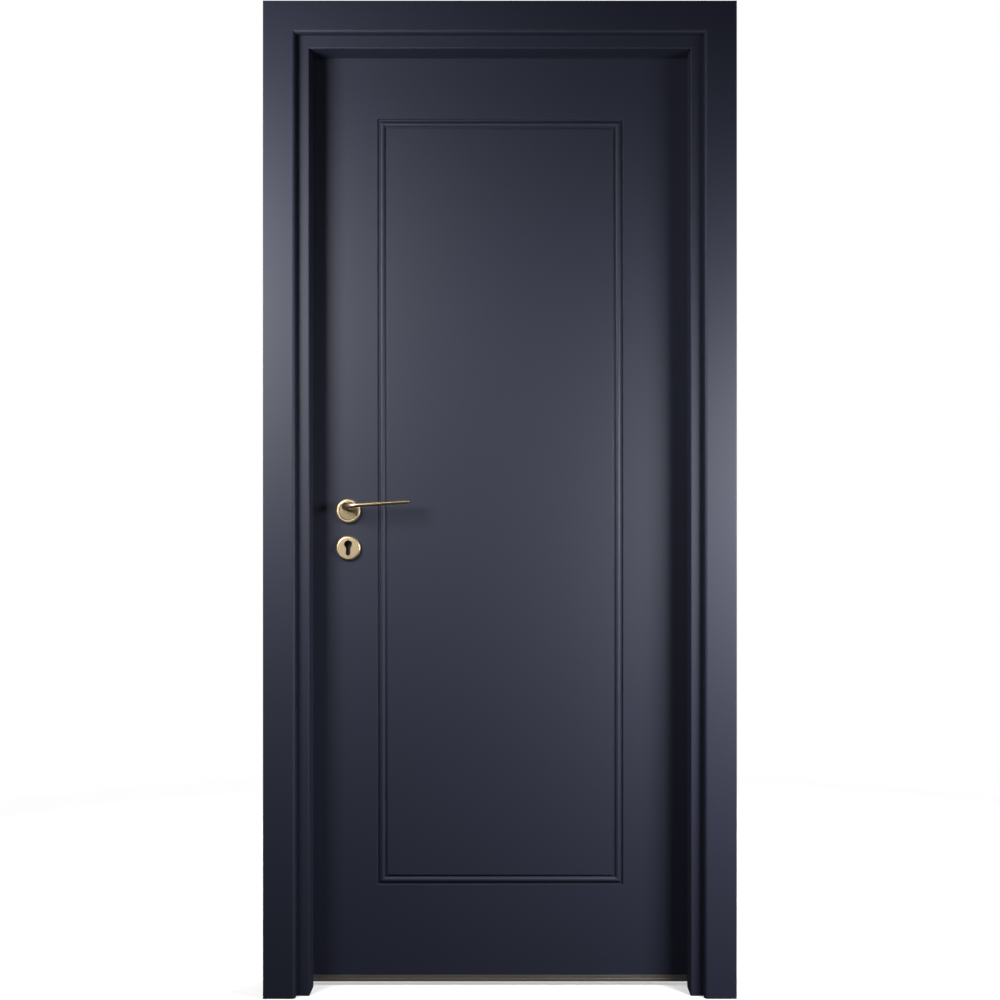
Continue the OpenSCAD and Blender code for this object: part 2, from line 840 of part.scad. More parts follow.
// Lever's outline from above: a neck out of the hub, a bend and a bar with a round end
module lever_plan() {
  bend_x = lever_neck_x + lever_bend_r;
  bend_y = lever_out - lever_bend_r;
  translate([lever_neck_x, hub_face - eps]) square([lever_t, bend_y - hub_face + eps]);
  translate([bend_x, bend_y]) intersection() {
    difference() {
      circle(lever_bend_r);
      circle(lever_bend_r - lever_t);
    }
    translate([-lever_bend_r, 0]) square(lever_bend_r);
  }
  end_x = lever_l + lever_end_over - lever_t / 2;
  translate([bend_x, lever_out - lever_t]) square([end_x - bend_x, lever_t]);
  translate([end_x, lever_out - lever_t / 2]) circle(lever_t / 2);
}

// Lever's outline from the front: a slice of the hub's round that thins into a rising bar
module lever_elevation() {
  tip_x = lever_l - lever_tip_r;
  intersection() {
    circle(hub_r - lever_neck_inset);
    translate([-hub_r, lever_low]) square([hub_r + lever_top_x, hub_r]);
  }
  polygon([
    [lever_neck_x / 2, lever_low], [lever_chord_x, lever_low],
    [lever_taper_x, lever_low + lever_taper_rise], [tip_x, lever_tip_z - lever_tip_r],
    [tip_x, lever_tip_z + lever_tip_r], [lever_top_x, lever_top_z], [lever_neck_x / 2, lever_top_z]
  ]);
  translate([tip_x, lever_tip_z]) circle(lever_tip_r);
}

// Lever with its hub, and a shank with a square socket for the spindle
module lever() {
  intersection() {
    linear_extrude(height = 2 * hub_r) lever_plan();
    translate([0, 2 * lever_out, 0]) rotate([90, 0, 0])
      linear_extrude(height = 4 * lever_out) lever_elevation();
  }
  difference() {
    turned() {
      translate([0, base_d + hub_step]) square([hub_r, hub_face - base_d - hub_step]);
      translate([0, -shank_in]) square([shank_r, shank_in + hub_face]);
    }
    spindle_bar(seat_clear, -shank_in - eps, spindle_end);
  }
}

// Square bar along Y between two distances out of the leaf's face
module spindle_bar(grow, from, to) {
  half = spindle_w / 2 + grow;
  translate([-half, from, -half]) cube([2 * half, to - from + grow, 2 * half]);
}

module lever_front() color(brass) at_spindle(true) lever();
module lever_rear() color(brass) at_spindle(false) lever();
module spindle() color(steel) at_spindle(false) spindle_bar(0, -leaf_t - spindle_end, spindle_end);

// Follower that the spindle turns in the lock case
module lock_follower() color(steel) translate([spindle_x, leaf_mid, spindle_z]) {
  flange_t = case_t - 2 * case_wall - 2 * slide_clear;
  difference() {
    rotate([90, 0, 0]) {
      cylinder(r = follower_hub_r, h = case_t, center = true);
      cylinder(r = follower_r, h = flange_t, center = true);
    }
    cube([spindle_w + 2 * seat_clear, 2 * case_t, spindle_w + 2 * seat_clear], center = true);
  }
}

// Rings that hold the levers' shanks behind the rose bases
module lever_clips() color(steel) {
  for (front = [true, false]) {
    at_spindle(front) turned() translate([shank_r + seat_clear / 2, -clip_t - slide_clear])
      square([clip_r - shank_r, clip_t]);
  }
}

// Latch with a rounded nose and a tail that passes over the follower
module latch_bolt() color(steel) lock_side() {
  nose = leaf_edge - nose_set;
  tail_low = spindle_z + follower_r + latch_tail_low;
  tail_from = spindle_m - latch_tail_back;
  difference() {
    translate([nose - latch_l, leaf_mid - bolt_half_t, latch_z - latch_h / 2])
      cube([latch_l, 2 * bolt_half_t, latch_h]);
    for (side = [0, 1]) {
      translate([nose, leaf_mid, 0]) mirror([0, side, 0]) translate([0, bolt_half_t, 0])
        rotate(180) linear_extrude(height = 2 * spindle_z) corner_cut(nose_r);
    }
  }
  translate([tail_from, leaf_mid - tail_half_t, tail_low])
    cube([nose - latch_l - tail_from + eps, 2 * tail_half_t, latch_tail_h]);
}

// Deadbolt with a tail that the cylinder's cam drives by its notch
module deadbolt() color(steel) lock_side() {
  nose = leaf_edge - nose_set;
  translate([nose - bolt_l, leaf_mid - bolt_half_t, bolt_z - bolt_h / 2])
    cube([bolt_l, 2 * bolt_half_t, bolt_h]);
  difference() {
    translate([spindle_m, leaf_mid - tail_half_t, bolt_z - bolt_tail_h / 2])
      cube([nose - bolt_l - spindle_m + eps, 2 * tail_half_t, bolt_tail_h]);
    translate([spindle_m + 2 * bolt_notch_r, leaf_mid, bolt_z - bolt_tail_h / 2])
      rotate([90, 0, 0]) cylinder(r = bolt_notch_r, h = 4 * tail_half_t, center = true);
  }
}

jamb_left();
jamb_right();
jamb_head();
casing_front_left();
casing_front_right();
casing_front_head();
casing_rear_left();
casing_rear_right();
casing_rear_head();
gasket_left();
gasket_right();
gasket_head();
corner_screws();
strike_plate();
strike_box();
strike_screws();
hinge_jamb_plate(hinge_low);  // hinge_jamb_plate_low
hinge_jamb_plate(hinge_mid);  // hinge_jamb_plate_mid
hinge_jamb_plate(hinge_top);  // hinge_jamb_plate_top
hinge_pin(hinge_low);  // hinge_pin_low
hinge_pin(hinge_mid);  // hinge_pin_mid
hinge_pin(hinge_top);  // hinge_pin_top
hinge_jamb_screws();
leaf_panel();
bead_front_left();
bead_front_right();
bead_front_top();
bead_front_bottom();
bead_rear_left();
bead_rear_right();
bead_rear_top();
bead_rear_bottom();
bottom_strip();
lock_case();
lock_forend();
forend_screws();
rose_base_front();
rose_base_rear();
rose_cover_front();
rose_cover_rear();
rose_bolts();
escutcheon_base();
escutcheon_cover();
hinge_leaf_plate(hinge_low);  // hinge_leaf_plate_low
hinge_leaf_plate(hinge_mid);  // hinge_leaf_plate_mid
hinge_leaf_plate(hinge_top);  // hinge_leaf_plate_top
hinge_leaf_screws();
lever_front();
lever_rear();
spindle();
lock_follower();
lever_clips();
latch_bolt();
deadbolt();
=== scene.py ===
"""Looks of an interior door set: lacquered frame and leaf, brass lever set, steel lock."""

import logging
import math
from abc import ABC, abstractmethod
from dataclasses import dataclass, field, replace
from enum import Enum
from typing import Any, Callable, ClassVar, Iterable, Sequence

import bmesh
import bpy
from mathutils import Matrix, Vector


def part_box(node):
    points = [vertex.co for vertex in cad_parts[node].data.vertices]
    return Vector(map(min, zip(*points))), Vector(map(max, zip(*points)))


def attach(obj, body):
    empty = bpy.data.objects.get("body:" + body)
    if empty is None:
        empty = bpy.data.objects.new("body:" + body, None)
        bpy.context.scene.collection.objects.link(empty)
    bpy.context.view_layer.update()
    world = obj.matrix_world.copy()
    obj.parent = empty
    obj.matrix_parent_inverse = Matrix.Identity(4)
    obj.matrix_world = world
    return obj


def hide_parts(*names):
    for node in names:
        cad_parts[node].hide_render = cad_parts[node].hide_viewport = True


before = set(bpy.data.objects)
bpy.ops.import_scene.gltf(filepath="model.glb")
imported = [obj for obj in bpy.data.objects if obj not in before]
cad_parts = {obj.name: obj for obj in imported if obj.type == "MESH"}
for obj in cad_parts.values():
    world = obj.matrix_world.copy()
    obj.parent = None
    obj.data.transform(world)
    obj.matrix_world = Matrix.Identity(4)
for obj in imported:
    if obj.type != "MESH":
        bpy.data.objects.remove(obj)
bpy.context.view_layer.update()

LOG = logging.getLogger("door_set")

MM = 0.001
QUARTER = math.pi / 2.0
WHITE = (1.0, 1.0, 1.0, 1.0)
# Metres within which two points are one, in a CAD mesh and at the foot of a moulding.
WELD = 1e-6
SEAM = 1e-7
# Metres within which a point lies in a plane.
NEAR = 1e-5
# Height of the normal of a face that looks straight down.
DOWNWARD = -0.99
# Degrees past which an edge stays sharp: most pieces, mouldings and levers. A copy of a CAD
# mesh that isn't reshaped keeps the normals that it was made with.
AS_MADE = 0.0
CREASE = 32.0
MOULDING_CREASE = 25.0
LEVER_CREASE = 40.0
# Middle of a noise's range, and the part of it that is spread over a whole blend.
EVEN = 0.5
MIDDLE = (0.3, 0.7)

Colour = tuple[float, float, float]
Point2 = tuple[float, float]
Corner = tuple[float, float, float]
FaceTest = Callable[[list[Vector], Vector], bool]


class Slot(Enum):
    """Material slots of the record."""

    LACQUER = "lacquered_wood"
    BRASS = "satin_brass"
    STEEL = "lock_steel"
    RUBBER = "gasket_rubber"
    PLASTIC = "dark_plastic"
    STRIP = "strip_aluminium"


class Body(Enum):
    """Bodies that the pieces ride on."""

    FRAME = "frame"
    LEAF = "leaf"
    HANDLE = "handle"
    LATCH = "latch"
    DEADBOLT = "deadbolt"


class Side(Enum):
    """Sides of the passage that a moulding runs along."""

    LEFT = "left"
    RIGHT = "right"
    HEAD = "head"


class Edge(Enum):
    """Sides of the rectangle of bead."""

    LEFT = "left"
    RIGHT = "right"
    TOP = "top"
    BOTTOM = "bottom"


class Face(Enum):
    """Faces of the wall and of the leaf."""

    FRONT = "front"
    REAR = "rear"

    @property
    def way(self) -> float:
        """Direction along Y that leads out of the face."""
        return 1.0 if self is Face.REAR else -1.0


class Heading(Enum):
    """Ways that a set of screws enters the work, as unit vectors."""

    RIGHT = (1.0, 0.0, 0.0)
    LEFT = (-1.0, 0.0, 0.0)
    DOWN = (0.0, 0.0, -1.0)


# Depth of the leaf's two faces, in millimetres.
LEAF_Y = {Face.FRONT: 15.0, Face.REAR: 55.0}


class Wire:
    """One output of a node, which takes part in arithmetic."""

    def __init__(self, desk: "NodeDesk", node: bpy.types.Node, output: str | int = 0) -> None:
        """Keep the desk, the node that lies on it, and the output's name or number."""
        self.desk, self.node, self.output = desk, node, output

    def __getitem__(self, output: str | int) -> "Wire":
        """Another output of the same node."""
        return Wire(self.desk, self.node, output)

    @property
    def socket(self) -> bpy.types.NodeSocket:
        """The output's socket."""
        return self.node.outputs[self.output]

    def _math(self, operation: str, first: "Value", second: "Value") -> "Wire":
        """The result of a new Math node."""
        return self.desk.node("ShaderNodeMath", {"operation": operation}, {0: first, 1: second})

    def __add__(self, other: "Value") -> "Wire":
        """Sum."""
        return self._math("ADD", self, other)

    def __radd__(self, other: "Value") -> "Wire":
        """Reflected sum."""
        return self._math("ADD", other, self)

    def __sub__(self, other: "Value") -> "Wire":
        """Difference."""
        return self._math("SUBTRACT", self, other)

    def __rsub__(self, other: "Value") -> "Wire":
        """Reflected difference."""
        return self._math("SUBTRACT", other, self)

    def __mul__(self, other: "Value") -> "Wire":
        """Product."""
        return self._math("MULTIPLY", self, other)

    def __rmul__(self, other: "Value") -> "Wire":
        """Reflected product."""
        return self._math("MULTIPLY", other, self)

    def __truediv__(self, other: "Value") -> "Wire":
        """Quotient."""
        return self._math("DIVIDE", self, other)

    def __rtruediv__(self, other: "Value") -> "Wire":
        """Reflected quotient."""
        return self._math("DIVIDE", other, self)

    def __pow__(self, other: "Value") -> "Wire":
        """Power."""
        return self._math("POWER", self, other)

    def larger(self, other: "Value") -> "Wire":
        """The larger of two values."""
        return self._math("MAXIMUM", self, other)

    def between(self, low: float, high: float) -> "Wire":
        """A smooth step from 0 at low to 1 at high."""
        limits = {"Value": self, "From Min": low, "From Max": high}
        return self.desk.node("ShaderNodeMapRange", {"interpolation_type": "SMOOTHSTEP"}, limits)


Value = Wire | float | int | Sequence[float] | list[Wire]


def mixed(first: Wire, second: Wire, share: float) -> Wire:
    """A share of the first value with the rest of the second."""
    return share * first + (1.0 - share) * second


class NodeDesk:
    """A node tree that is filled from code."""

    def __init__(self, tree: bpy.types.NodeTree) -> None:
        """Take the tree and clear it."""
        self.tree = tree
        tree.nodes.clear()

    def node(
        self,
        kind: str,
        settings: dict[str, Any] | None = None,
        values: dict[str | int, Value] | None = None,
    ) -> Wire:
        """Add any node.

        Args:
            kind: The node's type.
            settings: Properties that are set first.
            values: Numbers or wires of its inputs, by name or number; an input that takes
                several wires has a list of them.

        Returns:
            The new node's first output, from which the others are taken by name.
        """
        made = self.tree.nodes.new(kind)
        for name, setting in (settings or {}).items():
            setattr(made, name, setting)
        for key, given in (values or {}).items():
            for value in given if isinstance(given, list) else [given]:
                if isinstance(value, Wire):
                    self.tree.links.new(value.socket, made.inputs[key])
                else:
                    made.inputs[key].default_value = value
        return Wire(self, made)


class Shader(NodeDesk):
    """The desk of a surface material."""

    def __init__(self, name: str) -> None:
        """Make an empty material.

        Args:
            name: Name of the material.
        """
        self.material = bpy.data.materials.new(name)
        self.material.use_nodes = True
        super().__init__(self.material.node_tree)

    def place(self) -> Wire:
        """Object coordinates, which are the part's own metres."""
        return self.node("ShaderNodeTexCoord")["Object"]

    def stretched(self, where: Wire, scale: Corner) -> Wire:
        """Coordinates that are scaled by different amounts along X, Y and Z."""
        return self.node("ShaderNodeMapping", None, {"Vector": where, "Scale": scale})

    def noise(self, where: Wire, scale: float, octaves: float, keep: float = 0.5) -> Wire:
        """Fractal noise from 0 to 1.

        Args:
            where: Coordinates.
            scale: Cycles per metre.
            octaves: How many finer layers it has.
            keep: Share of its height that each finer layer keeps.

        Returns:
            The noise's value.
        """
        values = {"Vector": where, "Scale": scale, "Detail": octaves, "Roughness": keep}
        return self.node("ShaderNodeTexNoise", None, values)["Fac"]

    def blend(self, share: Wire, first: Colour, second: Colour) -> Wire:
        """A colour from the first at 0 to the second at 1, by the node's sockets for colours."""
        values = {0: share, 6: (*first, 1.0), 7: (*second, 1.0)}
        return self.node("ShaderNodeMix", {"data_type": "RGBA"}, values)[2]

    def relief(self, height: Wire, depth: float) -> Wire:
        """A bump normal from a height of 0 to 1 that spans depth metres."""
        return self.node("ShaderNodeBump", None, {"Height": height, "Distance": depth})

    def close(self, surface: Wire) -> bpy.types.Material:
        """Give the material its surface and return it."""
        self.node("ShaderNodeOutputMaterial", None, {"Surface": surface})
        return self.material

    def surface(self, values: dict[str, Value]) -> bpy.types.Material:
        """Close the material with one principled surface of those values."""
        return self.close(self.node("ShaderNodeBsdfPrincipled", None, values))


@dataclass(frozen=True)
class Finish(ABC):
    """A surface finish that makes its material once."""

    name: str
    slot: Slot
    made: ClassVar[dict[str, bpy.types.Material]] = {}

    @abstractmethod
    def paint(self, shader: Shader) -> bpy.types.Material:
        """Fill the shader's desk and return its material."""

    def material(self) -> bpy.types.Material:
        """The finish's material, made at the first call.

        Returns:
            The material.
        """
        if self.name not in Finish.made:
            Finish.made[self.name] = self.paint(Shader(self.name))
        return Finish.made[self.name]


@dataclass(frozen=True)
class SatinLacquer(Finish):
    """Sprayed satin lacquer with the peel of the spray gun; a noise is a scale and octaves."""

    shade: Colour = (0.0076, 0.0097, 0.0256)
    tint: Colour = (0.0087, 0.0110, 0.0286)
    rough: float = 0.63
    rough_spread: float = 0.05
    cloud: Point2 = (2.6, 3.0)
    peel: Point2 = (330.0, 1.5)
    mist: Point2 = (1500.0, 2.0)
    cloud_in_colour: float = 0.7
    cloud_in_rough: float = 0.6
    peel_in_relief: float = 0.8
    peel_depth: float = 0.00007
    coat: float = 0.06
    coat_rough: float = 0.28

    def paint(self, shader: Shader) -> bpy.types.Material:
        """Fill the shader's desk and return its material.

        Args:
            shader: Desk and material to fill.

        Returns:
            The finished material.
        """
        where = shader.place()
        layers = (self.cloud, self.peel, self.mist)
        cloud, peel, mist = (shader.noise(where, *layer) for layer in layers)
        share = mixed(cloud, mist, self.cloud_in_colour)
        uneven = mixed(cloud, mist, self.cloud_in_rough) - EVEN
        height = mixed(peel, mist, self.peel_in_relief)
        return shader.surface({
            "Base Color": shader.blend(share, self.shade, self.tint),
            "Roughness": self.rough + self.rough_spread * uneven,
            "Coat Weight": self.coat,
            "Coat Roughness": self.coat_rough,
            "Normal": shader.relief(height, self.peel_depth),
        })


@dataclass(frozen=True)
class BrushedMetal(Finish):
    """Metal with fine lines along one axis and faint clouds."""

    shade: Colour
    tint: Colour
    rough: float
    rough_spread: float
    brush: Corner
    cloud_scale: float
    cloud_octaves: float = 3.0
    line_octaves: float = 3.0
    line_keep: float = 0.6
    lines_in_colour: float = 0.7
    lines_in_rough: float = 1.0
    depth: float = 0.00002

    def paint(self, shader: Shader) -> bpy.types.Material:
        """Fill the shader's desk and return its material.

        Args:
            shader: Desk and material to fill.

        Returns:
            The finished material.
        """
        where = shader.place()
        along = shader.stretched(where, self.brush)
        lines = shader.noise(along, 1.0, self.line_octaves, self.line_keep)
        cloud = shader.noise(where, self.cloud_scale, self.cloud_octaves)
        share = mixed(lines, cloud, self.lines_in_colour).between(*MIDDLE)
        uneven = mixed(lines, cloud, self.lines_in_rough) - EVEN
        return shader.surface({
            "Base Color": shader.blend(share, self.shade, self.tint),
            "Metallic": 1.0,
            "Roughness": self.rough + self.rough_spread * uneven,
            "Normal": shader.relief(lines, self.depth),
        })


@dataclass(frozen=True)
class Grained(Finish):
    """Matt stuff with a fine grain and broad patches, each a scale, octaves and share kept."""

    shade: Colour
    tint: Colour
    grain: Corner
    patch: Corner
    grain_in_colour: float
    grain_in_rough: float
    rough: float
    rough_spread: float
    depth: float = 0.00006
    contrast: Point2 | None = None

    def paint(self, shader: Shader) -> bpy.types.Material:
        """Fill the shader's desk and return its material.

        Args:
            shader: Desk and material to fill.

        Returns:
            The finished material.
        """
        where = shader.place()
        grain, patch = shader.noise(where, *self.grain), shader.noise(where, *self.patch)
        share = mixed(grain, patch, self.grain_in_colour)
        if self.contrast:
            share = share.between(*self.contrast)
        uneven = mixed(grain, patch, self.grain_in_rough)
        return shader.surface({
            "Base Color": shader.blend(share, self.shade, self.tint),
            "Roughness": self.rough + self.rough_spread * uneven,
            "Normal": shader.relief(grain, self.depth),
        })


LACQUER = SatinLacquer("satin_navy_lacquer", Slot.LACQUER)
# Brass with a fine satin brushing, smoother on the levers.
BRASS = BrushedMetal(
    "satin_brass", Slot.BRASS, shade=(0.59, 0.465, 0.28), tint=(0.68, 0.54, 0.335),
    rough=0.45, rough_spread=0.12, brush=(260.0, 2600.0, 2600.0), cloud_scale=45.0,
    lines_in_colour=0.55, lines_in_rough=0.7,
)
LEVER_BRASS = replace(BRASS, name="smooth_brass", rough=0.34, rough_spread=0.08)
# Nickel-plated steel sheet with brushing along its length.
STEEL = BrushedMetal(
    "brushed_steel", Slot.STEEL, shade=(0.42, 0.42, 0.41), tint=(0.58, 0.58, 0.57),
    rough=0.34, rough_spread=0.14, brush=(1800.0, 1800.0, 55.0), cloud_scale=30.0,
)
# Drawn aluminium, anodised grey-brown, with die lines along its length.
PROFILE = BrushedMetal(
    "anodised_profile", Slot.STRIP, shade=(0.44, 0.395, 0.355), tint=(0.56, 0.51, 0.465),
    rough=0.46, rough_spread=0.10, brush=(12.0, 2400.0, 2400.0), cloud_scale=6.0,
    line_octaves=2.0, lines_in_colour=0.6,
)
# Unpainted fibre board, on faces that the wall or the jamb hides.
BOARD = Grained(
    "raw_fibre_board", Slot.LACQUER, shade=(0.34, 0.235, 0.14), tint=(0.46, 0.335, 0.215),
    grain=(420.0, 4.0, 0.65), patch=(14.0, 3.0, 0.5), grain_in_colour=0.65,
    grain_in_rough=1.0, rough=0.82, rough_spread=0.12, depth=0.00025, contrast=MIDDLE,
)
# Dull black gasket rubber with a dusty bloom.
RUBBER = Grained(
    "gasket_rubber", Slot.RUBBER, shade=(0.010, 0.010, 0.012), tint=(0.026, 0.026, 0.030),
    grain=(900.0, 2.0, 0.5), patch=(35.0, 4.0, 0.6), grain_in_colour=0.0,
    grain_in_rough=0.0, rough=0.72, rough_spread=0.16, contrast=(0.45, 0.75),
)
# Dark moulded plastic with a spark-eroded grain.
PLASTIC = Grained(
    "moulded_plastic", Slot.PLASTIC, shade=(0.020, 0.020, 0.021), tint=(0.032, 0.032, 0.033),
    grain=(1400.0, 3.0, 0.6), patch=(60.0, 2.0, 0.5), grain_in_colour=0.0,
    grain_in_rough=1.0, rough=0.48, rough_spread=0.14,
)


def link(name: str, data: bpy.types.ID) -> bpy.types.Object:
    """Put a mesh, lamp or camera in the scene.

    Args:
        name: Name of the object.
        data: Its mesh, lamp or camera.

    Returns:
        The object.
    """
    made = bpy.data.objects.new(name, data)
    bpy.context.scene.collection.objects.link(made)
    return made


def settled(piece: bpy.types.Object, step: bpy.types.Modifier) -> bpy.types.Mesh:
    """Work out a piece's one modifier and take it off.

    Args:
        piece: The piece.
        step: Its modifier.

    Returns:
        A plain mesh of the result.
    """
    graph = bpy.context.evaluated_depsgraph_get()
    made = bpy.data.meshes.new_from_object(piece.evaluated_get(graph))
    piece.modifiers.remove(step)
    return made


class Bench:
    """Mesh work that all the pieces share."""

    @staticmethod
    def stand_in(
        node: str,
        ending: str,
        mesh: bpy.types.Mesh,
        body: Body,
        finish: Finish,
        crease: float = CREASE,
    ) -> None:
        """Show a mesh in place of a CAD node, smooth between its sharp edges.

        Args:
            node: Name of the CAD node.
            ending: What the piece's name adds to the node's.
            mesh: The piece's mesh, already in place.
            body: Body that it moves with.
            finish: Not used.
            crease: Degrees past which an edge stays sharp, or AS_MADE.
        """
        piece = link(f"{node}_{ending}", mesh)
        if crease != AS_MADE:
            mesh.polygons.foreach_set("use_smooth", [True] * len(mesh.polygons))
            mesh.set_sharp_from_angle(angle=math.radians(crease))
            step = piece.modifiers.new("flat_faces_stay_flat", "WEIGHTED_NORMAL")
            step.keep_sharp = True
            piece.data = settled(piece, step)
            bpy.data.meshes.remove(mesh)
        piece.data.name = piece.name
        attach(piece, body.value)
        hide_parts(node)
        LOG.info("%s rides on %s, %d faces", piece.name, body.value, len(piece.data.polygons))

    @staticmethod
    def dress(node: str, finish: Finish) -> None:
        """Give a CAD node that is shown as it is its finish.

        Args:
            node: Name of the CAD node.
            finish: Its finish.
        """
        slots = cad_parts[node].data.materials
        slots.clear()
        slots.append(finish.material())
        LOG.info("%s keeps its CAD shape", node)

    @staticmethod
    def merged(node: str) -> bmesh.types.BMesh:
        """A copy of a CAD node whose triangles are joined.

        Args:
            node: Name of the CAD node.

        Returns:
            The copy.
        """
        work = bmesh.new()
        work.from_mesh(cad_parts[node].data)
        bmesh.ops.remove_doubles(work, verts=work.verts, dist=WELD)
        return work

    @staticmethod
    def solid(node: str, flat: float = 0.6) -> bmesh.types.BMesh:
        """A merged copy of a CAD node, with its flat faces made whole.

        Args:
            node: Name of the CAD node.
            flat: Angle in degrees up to which neighbouring faces are one.

        Returns:
            The copy.
        """
        work = Bench.merged(node)
        bmesh.ops.dissolve_limit(
            work, angle_limit=math.radians(flat), verts=work.verts, edges=work.edges
        )
        return work

    @staticmethod
    def soften(
        work: bmesh.types.BMesh,
        width: float,
        steps: int,
        chosen: Callable[[bmesh.types.BMEdge], bool],
        angle: float = 30.0,
    ) -> None:
        """Round the edges that are sharper than an angle.

        Args:
            work: The mesh.
            width: Width of the rounding in millimetres.
            steps: Segments of the rounding.
            chosen: Says which of the sharp edges are rounded.
            angle: Least angle between the faces, in degrees.
        """
        least = math.radians(angle)
        edges = [
            e for e in work.edges
            if len(e.link_faces) == 2 and e.calc_face_angle(0.0) > least and chosen(e)
        ]
        if edges:
            bmesh.ops.bevel(
                work, geom=edges, offset=width * MM, offset_type="OFFSET", segments=steps,
                profile=0.5, affect="EDGES", clamp_overlap=True,
            )

    @staticmethod
    def to_mesh(work: bmesh.types.BMesh, finish: Finish) -> bpy.types.Mesh:
        """Close a work mesh and give it its finish.

        Args:
            work: The work mesh, which is freed.
            finish: Its finish.

        Returns:
            The mesh.
        """
        mesh = bpy.data.meshes.new("work")
        work.to_mesh(mesh)
        work.free()
        mesh.materials.append(finish.material())
        return mesh

    @staticmethod
    def bare(mesh: bpy.types.Mesh, test: FaceTest) -> None:
        """Leave the faces that pass a test as raw board.

        Args:
            mesh: The mesh.
            test: Takes a face's points and its normal.
        """
        mesh.materials.append(BOARD.material())
        last = len(mesh.materials) - 1
        for face in mesh.polygons:
            points = [mesh.vertices[i].co for i in face.vertices]
            if test(points, face.normal):
                face.material_index = last

    @staticmethod
    def islands(node: str) -> list[tuple[Vector, Vector]]:
        """Boxes of the separate solids of a CAD node, lowest first.

        Args:
            node: Name of the CAD node.

        Returns:
            Low and high corner of each solid.
        """
        work = Bench.merged(node)
        left, boxes = set(work.verts), []
        while left:
            todo, group = [left.pop()], []
            while todo:
                vert = todo.pop()
                group.append(vert.co.copy())
                for edge in vert.link_edges:
                    other = edge.other_vert(vert)
                    if other in left:
                        left.remove(other)
                        todo.append(other)
            low = Vector(min(c[i] for c in group) for i in range(3))
            high = Vector(max(c[i] for c in group) for i in range(3))
            boxes.append((low, high))
        work.free()
        # By height, place across and depth, each to a tenth of a millimetre.
        return sorted(boxes, key=lambda box: [round(box[0][i], 4) for i in (2, 0, 1)])


def rounded_section(corners: Sequence[Corner], steps: int = 10) -> list[Point2]:
    """Outline of a section whose corners are rounded.

    Args:
        corners: Across, depth and rounding of each corner in millimetres, counter-clockwise.
        steps: Segments of a quarter's rounding.

    Returns:
        Points in metres.
    """
    outline: list[Point2] = []
    count = len(corners)
    for i, (across, depth, radius) in enumerate(corners):
        spot = Vector((across, depth))
        if radius <= 0.0:
            outline.append((across * MM, depth * MM))
            continue
        before = (Vector(corners[i - 1][:2]) - spot).normalized()
        after = (Vector(corners[(i + 1) % count][:2]) - spot).normalized()
        half = before.angle(after) / 2.0
        inset = radius / math.tan(half)
        start, end = spot + before * inset, spot + after * inset
        centre = spot + (before + after).normalized() * (radius / math.sin(half))
        first, last = start - centre, end - centre
        sweep = first.angle_signed(last)
        for k in range(steps + 1):
            arm = first.copy()
            arm.rotate(Matrix.Rotation(-sweep * k / steps, 2))
            outline.append(((centre.x + arm.x) * MM, (centre.y + arm.y) * MM))
    return outline


def section_face(outline: Sequence[Point2]) -> bpy.types.Mesh:
    """One flat face with the outline of a section.

    Args:
        outline: Corners of the section, in metres.

    Returns:
        The mesh.
    """
    mesh = bpy.data.meshes.new("section")
    after = [*outline[1:], outline[0]]
    area = sum(a[0] * b[1] - b[0] * a[1] for a, b in zip(outline, after))
    points = list(outline) if area > 0.0 else list(reversed(outline))
    mesh.from_pydata([(x, y, 0.0) for x, y in points], [], [list(range(len(points)))])
    return mesh


class GeoDesk(NodeDesk):
    """A Geometry Nodes tree with named sizes, run on a mesh to give a plain mesh."""

    def __init__(self, name: str, sizes: Iterable[str]) -> None:
        """Make the tree.

        Args:
            name: Name of the tree.
            sizes: Names of its sizes.
        """
        super().__init__(bpy.data.node_groups.new(name, "GeometryNodeTree"))
        kinds = {
            "Geometry": "NodeSocketGeometry",
            **{size: "NodeSocketFloat" for size in sizes},
            "Finish": "NodeSocketMaterial",
        }
        face = self.tree.interface
        self.keys = {
            label: face.new_socket(label, in_out="INPUT", socket_type=kind).identifier
            for label, kind in kinds.items()
        }
        face.new_socket("Geometry", in_out="OUTPUT", socket_type="NodeSocketGeometry")
        self.given = self.node("NodeGroupInput")

    def upward(self, height: Wire) -> Wire:
        """A vector of that height along Z."""
        return self.node("ShaderNodeCombineXYZ", None, {"Z": height})

    def raised(self, mesh: Wire, height: Wire, faces: Wire | bool = True) -> Wire:
        """Extrude faces along Z.

        Args:
            mesh: The mesh.
            height: How far they go.
            faces: Which faces go.

        Returns:
            The mesh with its new walls.
        """
        return self.node("GeometryNodeExtrudeMesh", {"mode": "FACES"}, {
            "Mesh": mesh,
            "Selection": faces,
            "Offset": self.upward(height),
            "Offset Scale": 1.0,
            "Individual": False,
        })

    def close(self, geometry: Wire) -> None:
        """End the tree with realized instances and the finish.

        Args:
            geometry: What the tree makes.
        """
        real = self.node("GeometryNodeRealizeInstances", None, {"Geometry": geometry})
        dressed = self.node("GeometryNodeSetMaterial", None, {
            "Geometry": real,
            "Material": self.given["Finish"],
        })
        self.node("NodeGroupOutput", None, {0: dressed})

    def run(self, start: bpy.types.Mesh, values: dict[str, Any]) -> bpy.types.Mesh:
        """Evaluate the tree.

        Args:
            start: The mesh that enters it, which is removed.
            values: Its inputs by name.

        Returns:
            A plain mesh.
        """
        carrier = link("carrier", start)
        step = carrier.modifiers.new("rule", "NODES")
        step.node_group = self.tree
        for label, value in values.items():
            step[self.keys[label]] = value
        made = settled(carrier, step)
        bpy.data.objects.remove(carrier)
        bpy.data.meshes.remove(start)
        return made


